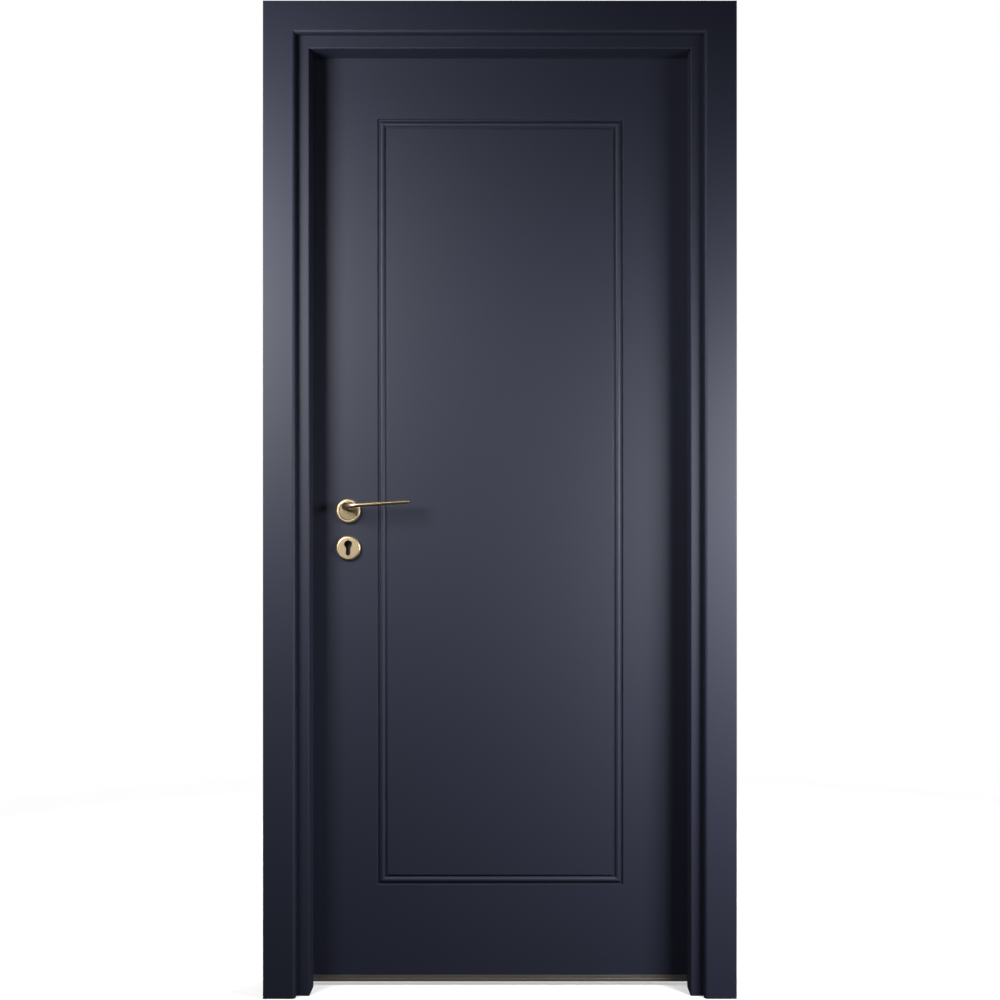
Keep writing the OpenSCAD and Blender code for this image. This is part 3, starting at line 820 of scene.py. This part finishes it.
class MouldingRule(GeoDesk):
    """A section run along its third axis, with each end leaning over to meet a mitre."""

    def __init__(self) -> None:
        """Build the tree."""
        super().__init__("mitred_moulding", ("Length", "Lean Low", "Lean High"))
        section, length = self.given["Geometry"], self.given["Length"]
        run = self.raised(section, length)
        foot = self.node("GeometryNodeFlipFaces", None, {"Mesh": section})
        both = self.node("GeometryNodeJoinGeometry", None, {0: [run, foot]})
        whole = self.node("GeometryNodeMergeByDistance", None, {
            "Geometry": both,
            "Distance": SEAM,
        })
        position = self.node("GeometryNodeInputPosition")
        spot = self.node("ShaderNodeSeparateXYZ", None, {0: position})
        share = spot["Z"] / length
        lean = (1.0 - share) * self.given["Lean Low"] + share * self.given["Lean High"]
        self.close(self.node("GeometryNodeSetPosition", None, {
            "Geometry": whole,
            "Offset": self.upward(spot["X"] * lean),
        }))

    def lay(
        self,
        outline: Sequence[Point2],
        length: float,
        leans: Point2,
        finish: Finish,
        place: Matrix,
        bare: FaceTest | None = None,
    ) -> bpy.types.Mesh:
        """Run a section and carry it to its place.

        Args:
            outline: The section, in metres.
            length: Length at the section's origin, in millimetres.
            leans: How far the low and the high end reach along for each metre across.
            finish: Its finish.
            place: Matrix from section axes (across, depth, along) to the part's axes.
            bare: Test, in section axes, of the faces that stay raw board.

        Returns:
            The mesh in place.
        """
        mesh = self.run(section_face(outline), {
            "Length": length * MM,
            "Lean Low": leans[0],
            "Lean High": leans[1],
            "Finish": finish.material(),
        })
        if bare:
            Bench.bare(mesh, bare)
        mesh.transform(place)
        if place.determinant() < 0.0:
            mesh.flip_normals()
        return mesh


class ScrewRule(GeoDesk):
    """Countersunk cross-recess screws, heads at the points and shanks along +Z."""

    def __init__(self, sides: int = 24, seed: int = 7) -> None:
        """Build the tree.

        Args:
            sides: Sides of heads and shanks.
            seed: Seed of the turn of each cross.
        """
        super().__init__("cross_recess_screws", (
            "Head Radius", "Head Depth", "Shank Radius", "Shank Length",
            "Cross Span", "Cross Width", "Cross Depth",
        ))
        head = self.node("GeometryNodeMeshCone", {"fill_type": "NGON"}, {
            "Vertices": sides,
            "Radius Top": self.given["Shank Radius"],
            "Radius Bottom": self.given["Head Radius"],
            "Depth": self.given["Head Depth"],
        })
        body = self.raised(head, self.given["Shank Length"], head["Top"])
        span, width = self.given["Cross Span"], self.given["Cross Width"]
        deep = 2.0 * self.given["Cross Depth"]
        blades = []
        for first, second in ((span, width), (width, span)):
            size = self.node("ShaderNodeCombineXYZ", None, {"X": first, "Y": second, "Z": deep})
            blades.append(self.node("GeometryNodeMeshCube", None, {"Size": size}))
        cut = self.node("GeometryNodeMeshBoolean", {"operation": "DIFFERENCE"}, {
            0: body,
            1: blades,
        })
        turn = self.node("FunctionNodeRandomValue", {"data_type": "FLOAT_VECTOR"}, {
            0: (0.0, 0.0, 0.0),
            1: (0.0, 0.0, math.pi),
            "Seed": seed,
        })
        self.close(self.node("GeometryNodeInstanceOnPoints", None, {
            "Points": self.given["Geometry"],
            "Instance": cut,
            "Rotation": turn,
        }))


@dataclass
class Frame:
    """Jambs, casings and gaskets, with sizes in millimetres."""

    rule: MouldingRule
    clear_w: float = 805.0
    clear_h: float = 2000.0
    wall_t: float = 110.0
    jamb_t: float = 40.0
    casing_near: float = 27.0
    casing_w: float = 68.0
    casing_t: float = 20.0
    inner_r: float = 7.0
    outer_r: float = 2.0
    arris: float = 0.4
    hollow: float = 3.0
    hollow_margin: float = 10.0
    tongue_near: float = 30.5
    tongue_t: float = 6.0
    tongue_l: float = 16.0
    groove_play: float = 0.5
    back_play: float = 0.1
    stop_y: float = 12.0
    stem: Corner = (3.6, 6.4, 5.3)
    bulb: Corner = (1.5, 8.5, 14.7)
    bulb_r: float = 1.3
    bulb_steps: int = 6

    def place(self, side: Side, face: Face) -> Matrix:
        """Matrix that carries a run to its side of the passage.

        Args:
            side: Side of the passage.
            face: Face of the wall; the section is mirrored to the far one.

        Returns:
            A matrix from section axes (across, depth, along) to the part's axes.
        """
        half = self.clear_w / 2.0 * MM
        depth = (0, -face.way, 0, 0)
        if side is Side.HEAD:
            rows = ((0, 0, 1, -half), depth, (1, 0, 0, self.clear_h * MM), (0, 0, 0, 1))
        else:
            way = 1.0 if side is Side.RIGHT else -1.0
            rows = ((way, 0, 0, way * half), depth, (0, 0, 1, 0), (0, 0, 0, 1))
        return Matrix(rows)

    def run(
        self,
        outline: Sequence[Point2],
        side: Side,
        finish: Finish,
        face: Face = Face.FRONT,
        bare: FaceTest | None = None,
    ) -> bpy.types.Mesh:
        """Run a section along one side of the passage.

        Args:
            outline: Section, measured across from the clear passage.
            side: Side of the passage.
            finish: Its finish.
            face: Face of the wall.
            bare: Test, in section axes, of the faces that stay raw board.

        Returns:
            The mesh in place.
        """
        level = side is Side.HEAD
        length = self.clear_w if level else self.clear_h
        leans = (-1.0 if level else 0.0, 1.0)
        return self.rule.lay(outline, length, leans, finish, self.place(side, face), bare)

    def casing_outline(self) -> list[Point2]:
        """Section of a casing with its tongue and hollow.

        Returns:
            Corners of the section, in metres.
        """
        wall = -self.wall_t / 2.0
        far = self.casing_near + self.casing_w
        low, high = self.jamb_t + self.hollow_margin, far - self.hollow_margin
        tongue_far = self.tongue_near + self.tongue_t
        return rounded_section([
            (self.casing_near, wall - self.casing_t, self.inner_r),
            (far, wall - self.casing_t, self.outer_r),
            (far, wall, self.arris),
            (high, wall, 0.0),
            (high, wall - self.hollow, 0.0),
            (low, wall - self.hollow, 0.0),
            (low, wall, 0.0),
            (tongue_far, wall, 0.0),
            (tongue_far, wall + self.tongue_l, self.arris),
            (self.tongue_near, wall + self.tongue_l, self.arris),
            (self.tongue_near, wall, 0.0),
            (self.casing_near, wall, 0.0),
        ])

    def gasket_outline(self) -> list[Point2]:
        """Section of the gasket: a stem and a flat bulb.

        Returns:
            Corners of the section, in metres.
        """
        near, far, root = self.stem
        low, high, top = self.bulb
        return rounded_section([
            (near, root, self.arris), (far, root, self.arris), (far, self.stop_y, 0.0),
            (high, self.stop_y, self.bulb_r), (high, top, self.bulb_r),
            (low, top, self.bulb_r), (low, self.stop_y, self.bulb_r), (near, self.stop_y, 0.0),
        ], self.bulb_steps)

    def jamb_back(self, side: Side) -> FaceTest:
        """Find a jamb's faces against the wall, in the tongue's grooves and at the sawn foot.

        Args:
            side: Side of the passage.

        Returns:
            The test of a face.
        """
        half, top = self.clear_w / 2.0, self.clear_h
        near = self.tongue_near - self.groove_play
        far = self.tongue_near + self.tongue_t + self.groove_play

        def behind(points: list[Vector], normal: Vector) -> bool:
            """Say whether a face stays bare.

            Args:
                points: The face's points.
                normal: The face's normal.

            Returns:
                Whether it does.
            """
            if side is Side.HEAD:
                spans = [p.z / MM - top for p in points]
            else:
                spans = [abs(p.x) / MM - half for p in points]
            in_groove = min(spans) > near and max(spans) < far
            sawn = normal.z < DOWNWARD and points[0].z < MM
            return in_groove or sawn or min(spans) > self.jamb_t - self.back_play

        return behind

    def build_jambs(self) -> None:
        """Copy the jambs, and leave the faces against the wall bare."""
        for side in Side:
            name = f"jamb_{side.value}"
            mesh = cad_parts[name].data.copy()
            mesh.materials.clear()
            mesh.materials.append(LACQUER.material())
            Bench.bare(mesh, self.jamb_back(side))
            Bench.stand_in(name, "board", mesh, Body.FRAME, LACQUER, AS_MADE)

    def build_casings(self) -> None:
        """Make the six casings, lacquered in front and bare behind."""
        depth = (-self.wall_t / 2.0 - self.hollow) * MM - NEAR

        def behind(points: list[Vector], normal: Vector) -> bool:
            """Faces of the casing's back, its tongue and its sawn foot."""
            return all(p.y > depth for p in points) or normal.z < DOWNWARD

        outline = self.casing_outline()
        for face in Face:
            for side in Side:
                mesh = self.run(outline, side, LACQUER, face, behind)
                name = f"casing_{face.value}_{side.value}"
                Bench.stand_in(name, "moulding", mesh, Body.FRAME, LACQUER, MOULDING_CREASE)

    def build_gaskets(self) -> None:
        """Make the three lengths of gasket."""
        outline = self.gasket_outline()
        for side in Side:
            mesh = self.run(outline, side, RUBBER)
            name = f"gasket_{side.value}"
            Bench.stand_in(name, "rubber", mesh, Body.FRAME, RUBBER, MOULDING_CREASE)

    def build(self) -> None:
        """Make all the pieces of the frame."""
        self.build_jambs()
        self.build_casings()
        self.build_gaskets()


@dataclass
class Screws:
    """Cross-recess screws that stand for the plain CAD screws, in millimetres."""

    rule: ScrewRule
    head_r: float = 4.0
    head_d: float = 2.0
    shank_r: float = 2.0
    cross_span: float = 4.4
    cross_width: float = 0.95
    cross_depth: float = 1.5

    def build(self, node: str, heading: Heading, body: Body, finish: Finish) -> None:
        """Make one set of screws.

        Args:
            node: CAD node of the set.
            heading: Way that the screws enter the work.
            body: Body that they ride on.
            finish: Their finish.
        """
        way = Vector(heading.value)
        turn = Vector((0.0, 0.0, 1.0)).rotation_difference(way).to_matrix().to_4x4()
        boxes = Bench.islands(node)
        length = max((high - low).dot(Vector(abs(c) for c in way)) for low, high in boxes)
        heads = []
        for low, high in boxes:
            middle = (low + high) / 2.0
            heads.append(turn.inverted() @ (middle - way * length / 2.0))
        points = bpy.data.meshes.new("heads")
        points.from_pydata([tuple(h) for h in heads], [], [])
        mesh = self.rule.run(points, {
            "Head Radius": self.head_r * MM,
            "Head Depth": self.head_d * MM,
            "Shank Radius": self.shank_r * MM,
            "Shank Length": length - self.head_d * MM,
            "Cross Span": self.cross_span * MM,
            "Cross Width": self.cross_width * MM,
            "Cross Depth": self.cross_depth * MM,
            "Finish": finish.material(),
        })
        mesh.transform(turn)
        Bench.stand_in(node, "cross_head", mesh, body, finish)


@dataclass
class Bead:
    """The rectangle of bead on each face of the leaf, in millimetres."""

    rule: MouldingRule
    half_w: float = 264.5
    low: float = 218.5
    high: float = 1870.0
    groove_w: float = 20.5
    groove_d: float = 5.0
    fit: float = 0.1
    base_t: float = 1.5
    round_w: float = 12.5
    crown: float = 1.0
    steps: int = 24

    def outline(self) -> list[Point2]:
        """Section across the groove, from its outer edge, with depth out of the leaf.

        Returns:
            Corners of the section, in metres.
        """
        rise = self.groove_d + self.crown - self.base_t
        half = self.round_w / 2.0
        radius = (half * half + rise * rise) / (2.0 * rise)
        middle = self.groove_w / 2.0
        centre = self.groove_d + self.crown - radius
        lean = math.asin(half / radius)
        if rise > radius:
            lean = math.pi - lean
        near, far = self.fit, self.groove_w - self.fit
        points = [(near, 0.0), (far, 0.0), (far, self.base_t)]
        for k in range(self.steps + 1):
            turn = lean - 2.0 * lean * k / self.steps
            points.append((middle + radius * math.sin(turn), centre + radius * math.cos(turn)))
        points.append((near, self.base_t))
        return [(x * MM, y * MM) for x, y in points]

    def place(self, edge: Edge, face: Face) -> Matrix:
        """Matrix that carries a run to one side of the rectangle.

        Args:
            edge: Side of the rectangle.
            face: Face of the leaf.

        Returns:
            A matrix from section axes (across, depth, along) to the part's axes.
        """
        depth = (0, face.way, 0, (LEAF_Y[face] - face.way * self.groove_d) * MM)
        half, low, high = self.half_w * MM, self.low * MM, self.high * MM
        rows = {
            Edge.LEFT: ((1, 0, 0, -half), depth, (0, 0, 1, low)),
            Edge.RIGHT: ((-1, 0, 0, half), depth, (0, 0, 1, low)),
            Edge.BOTTOM: ((0, 0, 1, -half), depth, (1, 0, 0, low)),
            Edge.TOP: ((0, 0, 1, -half), depth, (-1, 0, 0, high)),
        }[edge]
        return Matrix((*rows, (0, 0, 0, 1)))

    def build(self) -> None:
        """Make the eight lengths of bead."""
        outline, leans = self.outline(), (1.0, -1.0)
        for face in Face:
            for edge in Edge:
                upright = edge in (Edge.LEFT, Edge.RIGHT)
                length = self.high - self.low if upright else 2.0 * self.half_w
                mesh = self.rule.lay(outline, length, leans, LACQUER, self.place(edge, face))
                name = f"bead_{face.value}_{edge.value}"
                Bench.stand_in(name, "round", mesh, Body.LEAF, LACQUER, MOULDING_CREASE)


@dataclass
class Leaf:
    """The leaf's panel and its bottom strip, with sizes in millimetres."""

    arris: float = 1.2
    lip: float = 1.3
    steps: int = 3
    lip_angle: float = 60.0
    least_arris: float = 10.0
    least_lip: float = 20.0
    strip_edge: float = 0.35
    strip_steps: int = 2
    least_strip_edge: float = 100.0

    def build_panel(self) -> None:
        """Soften the panel's arrises and the lips of its grooves."""
        low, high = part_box("leaf_panel")
        work = Bench.solid("leaf_panel")

        def outer_planes(edge: bmesh.types.BMEdge) -> list[int]:
            """Axes of the panel's outer planes that an edge lies in.

            Args:
                edge: Edge of the panel.

            Returns:
                One axis for each plane.
            """
            ends = [v.co for v in edge.verts]
            return [
                axis for axis in range(3) for limit in (low[axis], high[axis])
                if all(abs(p[axis] - limit) < NEAR for p in ends)
            ]

        def is_arris(edge: bmesh.types.BMEdge) -> bool:
            """Whether an edge is one of the panel's twelve arrises, or a long part of one."""
            return len(outer_planes(edge)) == 2 and edge.calc_length() > self.least_arris * MM

        def is_lip(edge: bmesh.types.BMEdge) -> bool:
            """Whether an edge is a long lip in the front or the rear face."""
            return outer_planes(edge) == [1] and edge.calc_length() > self.least_lip * MM

        Bench.soften(work, self.arris, self.steps, is_arris)
        Bench.soften(work, self.lip, self.steps, is_lip, self.lip_angle)
        mesh = Bench.to_mesh(work, LACQUER)
        Bench.stand_in("leaf_panel", "lacquered", mesh, Body.LEAF, LACQUER)

    def build(self) -> None:
        """Make the panel and the strip."""
        self.build_panel()
        edge = (self.strip_edge, self.strip_steps, self.least_strip_edge)
        Softened("bottom_strip", Body.LEAF, PROFILE, "profile", *edge).build()


@dataclass
class Softened:
    """A CAD node whose longer edges are rounded a little, as tumbling and plating leave them."""

    node: str
    body: Body
    finish: Finish
    ending: str
    width: float = 0.3
    steps: int = 2
    least: float = 0.0

    def build(self) -> None:
        """Make the piece."""
        work = Bench.solid(self.node)
        least = self.least * MM
        Bench.soften(work, self.width, self.steps, lambda e: e.calc_length() > least)
        mesh = Bench.to_mesh(work, self.finish)
        Bench.stand_in(self.node, self.ending, mesh, self.body, self.finish)


@dataclass
class Lever:
    """One lever: a loft on a turned hub, in millimetres from the spindle and the leaf's face."""

    axis: Point2 = (-327.5, 1024.5)
    hub_r: float = 18.8
    hub_back: float = 5.5
    hub_face: float = 7.5
    hub_edge: float = 0.5
    hub_steps: int = 4
    shank_r: float = 9.0
    shank_in: float = 8.0
    socket_half: float = 4.1
    socket_end: float = 3.1
    neck_x: float = -14.0
    neck_sink: float = 0.3
    neck_steps: int = 4
    thick: float = 12.0
    front: float = 53.0
    bend_r: float = 40.0
    bend_steps: int = 16
    low: tuple[Point2, ...] = ((-20.0, 3.9), (6.0, 3.9), (18.0, 7.0), (130.8, 15.3))
    top: tuple[Point2, ...] = ((-20.0, 16.6), (10.0, 16.6), (130.8, 23.7))
    bar_steps: int = 24
    tip_x: float = 130.8
    end_x: float = 130.2
    tip_steps: int = 8
    tip_least: float = 0.01
    squareness: tuple[Point2, ...] = ((-20.0, 3.2), (4.0, 3.0), (24.0, 2.1), (130.8, 2.0))
    around: int = 40
    turned: int = 64

    @staticmethod
    def height(line: Sequence[Point2], x: float) -> float:
        """Height of an outline of straight pieces at one place along the lever.

        Args:
            line: Corners of the outline.
            x: Place along the lever.

        Returns:
            The height.
        """
        for (x0, z0), (x1, z1) in zip(line, line[1:]):
            if x <= x1:
                return z0 + (z1 - z0) * max(x - x0, 0.0) / (x1 - x0)
        return line[-1][1]

    def path(self) -> list[Corner]:
        """Middle of the bar from above: place along, distance out, and heading in radians.

        Returns:
            The stations, from the hub to the tip.
        """
        half = self.thick / 2.0
        bend_x, bend_out = self.neck_x + self.bend_r, self.front - self.bend_r
        radius, rise = self.bend_r - half, bend_out - self.hub_face
        start = self.hub_face - self.neck_sink
        stations = [
            (self.neck_x + half, start + rise * k / self.neck_steps, QUARTER)
            for k in range(self.neck_steps + 1)
        ]
        for k in range(1, self.bend_steps + 1):
            turn = QUARTER * k / self.bend_steps
            along, out = bend_x - radius * math.cos(turn), bend_out + radius * math.sin(turn)
            stations.append((along, out, QUARTER - turn))
        span = self.tip_x - bend_x
        places = [bend_x + span * k / self.bar_steps for k in range(1, self.bar_steps + 1)]
        tip_r = (self.height(self.top, self.tip_x) - self.height(self.low, self.tip_x)) / 2.0
        for k in range(1, self.tip_steps):
            places.append(self.tip_x + tip_r * math.sin(QUARTER * k / self.tip_steps))
        return stations + [(x, self.front - half, 0.0) for x in places]

    def ring(self, station: Corner) -> list[Corner]:
        """Rounded section of the bar at one station, as points along, out and up.

        Args:
            station: Place along, distance out, and heading.

        Returns:
            Points round the section.
        """
        along, out, heading = station
        low, top = self.height(self.low, along), self.height(self.top, along)
        middle, tall, deep = (low + top) / 2.0, (top - low) / 2.0, self.thick / 2.0
        if along > self.tip_x:
            tall = math.sqrt(max(tall * tall - (along - self.tip_x) ** 2, self.tip_least))
            deep = math.sqrt(max(deep * deep - (along - self.end_x) ** 2, self.tip_least))
        power = 2.0 / self.height(self.squareness, along)
        points = []
        for k in range(self.around):
            angle = 2.0 * math.pi * k / self.around
            across, up = math.cos(angle), math.sin(angle)
            across = math.copysign(abs(across) ** power, across) * deep
            up = math.copysign(abs(up) ** power, up) * tall
            spot = (along - across * math.sin(heading), out + across * math.cos(heading))
            points.append((*spot, middle + up))
        return points

    @staticmethod
    def skin(
        work: bmesh.types.BMesh, rings: Sequence[Sequence[Corner]]
    ) -> list[list[bmesh.types.BMVert]]:
        """Join rings of points with quads.

        Args:
            work: Mesh that takes the faces.
            rings: Rings of as many points each.

        Returns:
            Vertices of the rings.
        """
        rows = [[work.verts.new(p) for p in ring] for ring in rings]
        for first, second in zip(rows, rows[1:]):
            for k in range(len(first)):
                after = (k + 1) % len(first)
                work.faces.new((first[k], first[after], second[after], second[k]))
        return rows

    def hub(self, work: bmesh.types.BMesh) -> None:
        """Turn the hub and its shank, with the square socket for the spindle.

        Args:
            work: Mesh that takes the faces.
        """
        outline = []
        for k in range(self.hub_steps + 1):
            turn = QUARTER * k / self.hub_steps
            radius = self.hub_r - self.hub_edge * (1.0 - math.sin(turn))
            outline.append((radius, self.hub_face - self.hub_edge * (1.0 - math.cos(turn))))
        outline += [(self.hub_r, self.hub_back), (self.shank_r, self.hub_back)]
        outline.append((self.shank_r, -self.shank_in))
        turns = [2.0 * math.pi * k / self.turned for k in range(self.turned)]
        rows = self.skin(work, [
            [(r * math.cos(t), out, r * math.sin(t)) for t in turns] for r, out in outline
        ])
        work.faces.new(rows[0])
        s = self.socket_half
        square = [(-s, -s), (s, -s), (s, s), (-s, s)]
        walls = self.skin(work, [
            [(x, out, z) for x, z in square] for out in (-self.shank_in, self.socket_end)
        ])
        work.faces.new(walls[-1])
        mouth = [
            work.edges.get((row[k - 1], row[k]))
            for row in (rows[-1], walls[0]) for k in range(len(row))
        ]
        bmesh.ops.triangle_fill(work, edges=mouth, use_beauty=True)

    def build(self, face: Face) -> None:
        """Make the lever of one face of the leaf.

        Args:
            face: Face of the leaf.
        """
        work = bmesh.new()
        self.hub(work)
        rows = self.skin(work, [self.ring(s) for s in self.path()])
        work.faces.new(rows[0])
        work.faces.new(rows[-1])
        for vert in work.verts:
            along, out, up = vert.co
            spot = (self.axis[0] + along, LEAF_Y[face] + face.way * out, self.axis[1] + up)
            vert.co = Vector(spot) * MM
        bmesh.ops.recalc_face_normals(work, faces=work.faces)
        mesh = Bench.to_mesh(work, LEVER_BRASS)
        name = f"lever_{face.value}"
        Bench.stand_in(name, "satin", mesh, Body.HANDLE, LEVER_BRASS, LEVER_CREASE)


@dataclass
class LeverSet:
    """Levers, roses and the escutcheon."""

    lever: Lever = field(default_factory=Lever)
    cover_edge: float = 0.35
    cover_steps: int = 3

    def build(self) -> None:
        """Make the levers, roses and the escutcheon."""
        for face in Face:
            self.lever.build(face)
        edge = (self.cover_edge, self.cover_steps)
        for node in ("rose_cover_front", "rose_cover_rear", "escutcheon_cover"):
            Softened(node, Body.LEAF, BRASS, "satin", *edge).build()
        for node in ("rose_base_front", "rose_base_rear", "escutcheon_base"):
            Bench.dress(node, PLASTIC)
        for node in ("spindle", "lock_follower", "lever_clips", "rose_bolts"):
            Bench.dress(node, STEEL)


@dataclass
class LockSet:
    """Lock, strike and bolts."""

    plated: tuple[tuple[str, Body], ...] = (
        ("lock_forend", Body.LEAF),
        ("strike_plate", Body.FRAME),
        ("latch_bolt", Body.LATCH),
        ("deadbolt", Body.DEADBOLT),
    )

    def build(self) -> None:
        """Make the pieces of the lock and its strike."""
        for node, body in self.plated:
            Softened(node, body, STEEL, "plated").build()
        Bench.dress("lock_case", STEEL)
        Bench.dress("strike_box", PLASTIC)


@dataclass
class HingeSet:
    """Three butt hinges, each two plates and a pin."""

    places: tuple[str, ...] = ("low", "mid", "top")
    pieces: tuple[tuple[str, Body], ...] = (
        ("jamb_plate", Body.FRAME), ("leaf_plate", Body.LEAF), ("pin", Body.FRAME)
    )

    def build(self) -> None:
        """Make the plates and pins."""
        for place in self.places:
            for piece, body in self.pieces:
                Softened(f"hinge_{piece}_{place}", body, BRASS, "satin").build()


@dataclass(frozen=True)
class SoftBox:
    """A soft lamp."""

    name: str
    place: Corner
    aim: Corner
    size: Point2
    power: float

    def build(self) -> None:
        """Hang the lamp and turn it to what it lights."""
        light = bpy.data.lights.new(self.name, "AREA")
        light.shape = "RECTANGLE"
        light.size, light.size_y = self.size
        light.energy = self.power
        lamp = link(self.name, light)
        lamp.location = self.place
        way = Vector(self.aim) - Vector(self.place)
        lamp.rotation_euler = way.to_track_quat("-Z", "Y").to_euler()
        lamp.visible_camera = False


@dataclass
class Studio:
    """Camera, lamps, floor and the white surround, in metres."""

    eye: Corner = (0.0351, -3.202, 0.9915)
    lens: float = 53.66
    sensor: float = 36.0
    shift: Point2 = (-0.0166, 0.0263)
    # Strength of the world for diffuse and for glossy rays, and the depth behind the door over
    # which what a surface mirrors turns white.
    ambient: float = 0.010
    gleam: float = 0.004
    mirrored: Point2 = (0.1, 0.7)
    floor_half: float = 30.0
    floor_low: float = -0.0005
    # The floor's own glow and its paleness to the camera, its paleness to the object, and the
    # distance over which its shadow fades out.
    floor_glow: float = 0.45
    floor_share: float = 0.75
    floor_dull: float = 0.03
    floor_near: Point2 = (1.4, 3.0)
    lamps: tuple[SoftBox, ...] = (
        SoftBox("front_left_high", (-0.91, -0.83, 1.55), (-0.595, 0.0, 1.36), (0.42, 0.64), 22.0),
        SoftBox("front_right_low", (1.104, -0.811, 1.156), (1.025, 0.0, 0.595), (0.64, 0.48), 41.6),
        SoftBox("rear_left", (-1.6, 2.2, 1.5), (0.0, 0.0, 1.2), (0.9, 1.3), 34.0),
        SoftBox("rear_right", (1.7, 2.2, 1.1), (0.1, 0.0, 1.0), (0.9, 1.3), 34.0),
        SoftBox("beside_camera", (-0.3, -3.4, 2.0), (-0.26, 0.0, 1.1), (0.7, 0.4), 3.4),
        SoftBox("overhead", (0.0, 0.75, 4.2), (0.0, 0.75, 0.0), (1.2, 1.2), 30.0),
    )

    def build_camera(self) -> None:
        """Stand the camera at the photograph's place."""
        camera = bpy.data.cameras.new("photo_view")
        camera.lens = self.lens
        camera.sensor_width = self.sensor
        camera.shift_x, camera.shift_y = self.shift
        stand = link("photo_view", camera)
        stand.location = self.eye
        stand.rotation_euler = (QUARTER, 0.0, 0.0)
        bpy.context.scene.camera = stand

    def shown(self, desk: NodeDesk, depth: Wire) -> Wire:
        """Find the rays that see white: the camera's, and those mirrored from behind the door.

        Args:
            desk: Desk of the world's or the floor's nodes.
            depth: How far behind the door a ray points or a spot lies.

        Returns:
            1 for such a ray, else 0.
        """
        path = desk.node("ShaderNodeLightPath")
        seen = path["Is Camera Ray"].larger(path["Is Transmission Ray"])
        return seen.larger(path["Is Glossy Ray"] * depth.between(*self.mirrored))

    def build_surround(self) -> None:
        """Make the world white to the camera and dim to the lacquer's front."""
        world = bpy.data.worlds.new("surround")
        world.use_nodes = True
        bpy.context.scene.world = world
        desk = NodeDesk(world.node_tree)
        toward = desk.node("ShaderNodeTexCoord")["Generated"]
        way = desk.node("ShaderNodeSeparateXYZ", None, {0: toward})
        gleam, soft, full = (
            desk.node("ShaderNodeBackground", None, {"Color": WHITE, "Strength": level})
            for level in (self.gleam, self.ambient, 1.0)
        )
        diffuse = desk.node("ShaderNodeLightPath")["Is Diffuse Ray"]
        dim = desk.node("ShaderNodeMixShader", None, {0: diffuse, 1: gleam, 2: soft})
        white = self.shown(desk, way["Y"])
        light = desk.node("ShaderNodeMixShader", None, {0: white, 1: dim, 2: full})
        desk.node("ShaderNodeOutputWorld", None, {"Surface": light})

    def build_floor(self) -> None:
        """Lay a pale floor that keeps the shadow near the door."""
        reach, low = self.floor_half, self.floor_low
        mesh = bpy.data.meshes.new("floor")
        corners = [(x * reach, y * reach, low) for x, y in ((-1, -1), (1, -1), (1, 1), (-1, 1))]
        mesh.from_pydata(corners, [], [(0, 1, 2, 3)])
        floor = link("floor", mesh)
        desk = Shader("pale_floor")
        spot = desk.node("ShaderNodeSeparateXYZ", None, {0: desk.place()})
        across, depth = spot["X"], spot["Y"]
        far = ((across * across + depth * depth) ** 0.5).between(*self.floor_near)
        dull, pale = (
            desk.node("ShaderNodeBsdfDiffuse", None, {"Color": (level, level, level, 1.0)})
            for level in (self.floor_dull, self.floor_share)
        )
        glow, full = (
            desk.node("ShaderNodeEmission", None, {"Color": WHITE, "Strength": level})
            for level in (self.floor_glow, 1.0)
        )
        lit = desk.node("ShaderNodeAddShader", None, {0: pale, 1: glow})
        seen = desk.node("ShaderNodeMixShader", None, {0: far, 1: lit, 2: full})
        white = self.shown(desk, depth)
        mix = desk.node("ShaderNodeMixShader", None, {0: white, 1: dull, 2: seen})
        mesh.materials.append(desk.close(mix))

    def build(self) -> None:
        """Set up the studio."""
        bpy.context.scene.view_settings.view_transform = "Standard"
        self.build_camera()
        self.build_surround()
        self.build_floor()
        for lamp in self.lamps:
            lamp.build()


def main() -> None:
    """Build the studio and every piece of the door set."""
    logging.basicConfig(level=logging.INFO, format="%(name)s: %(message)s")
    Studio().build()
    moulding = MouldingRule()
    Frame(moulding).build()
    Leaf().build()
    Bead(moulding).build()
    LeverSet().build()
    LockSet().build()
    HingeSet().build()
    screws = Screws(ScrewRule())
    screws.build("corner_screws", Heading.DOWN, Body.FRAME, STEEL)
    screws.build("strike_screws", Heading.LEFT, Body.FRAME, STEEL)
    screws.build("hinge_jamb_screws", Heading.RIGHT, Body.FRAME, BRASS)
    screws.build("hinge_leaf_screws", Heading.LEFT, Body.LEAF, BRASS)
    screws.build("forend_screws", Heading.RIGHT, Body.LEAF, STEEL)


if __name__ == "__main__":
    main()
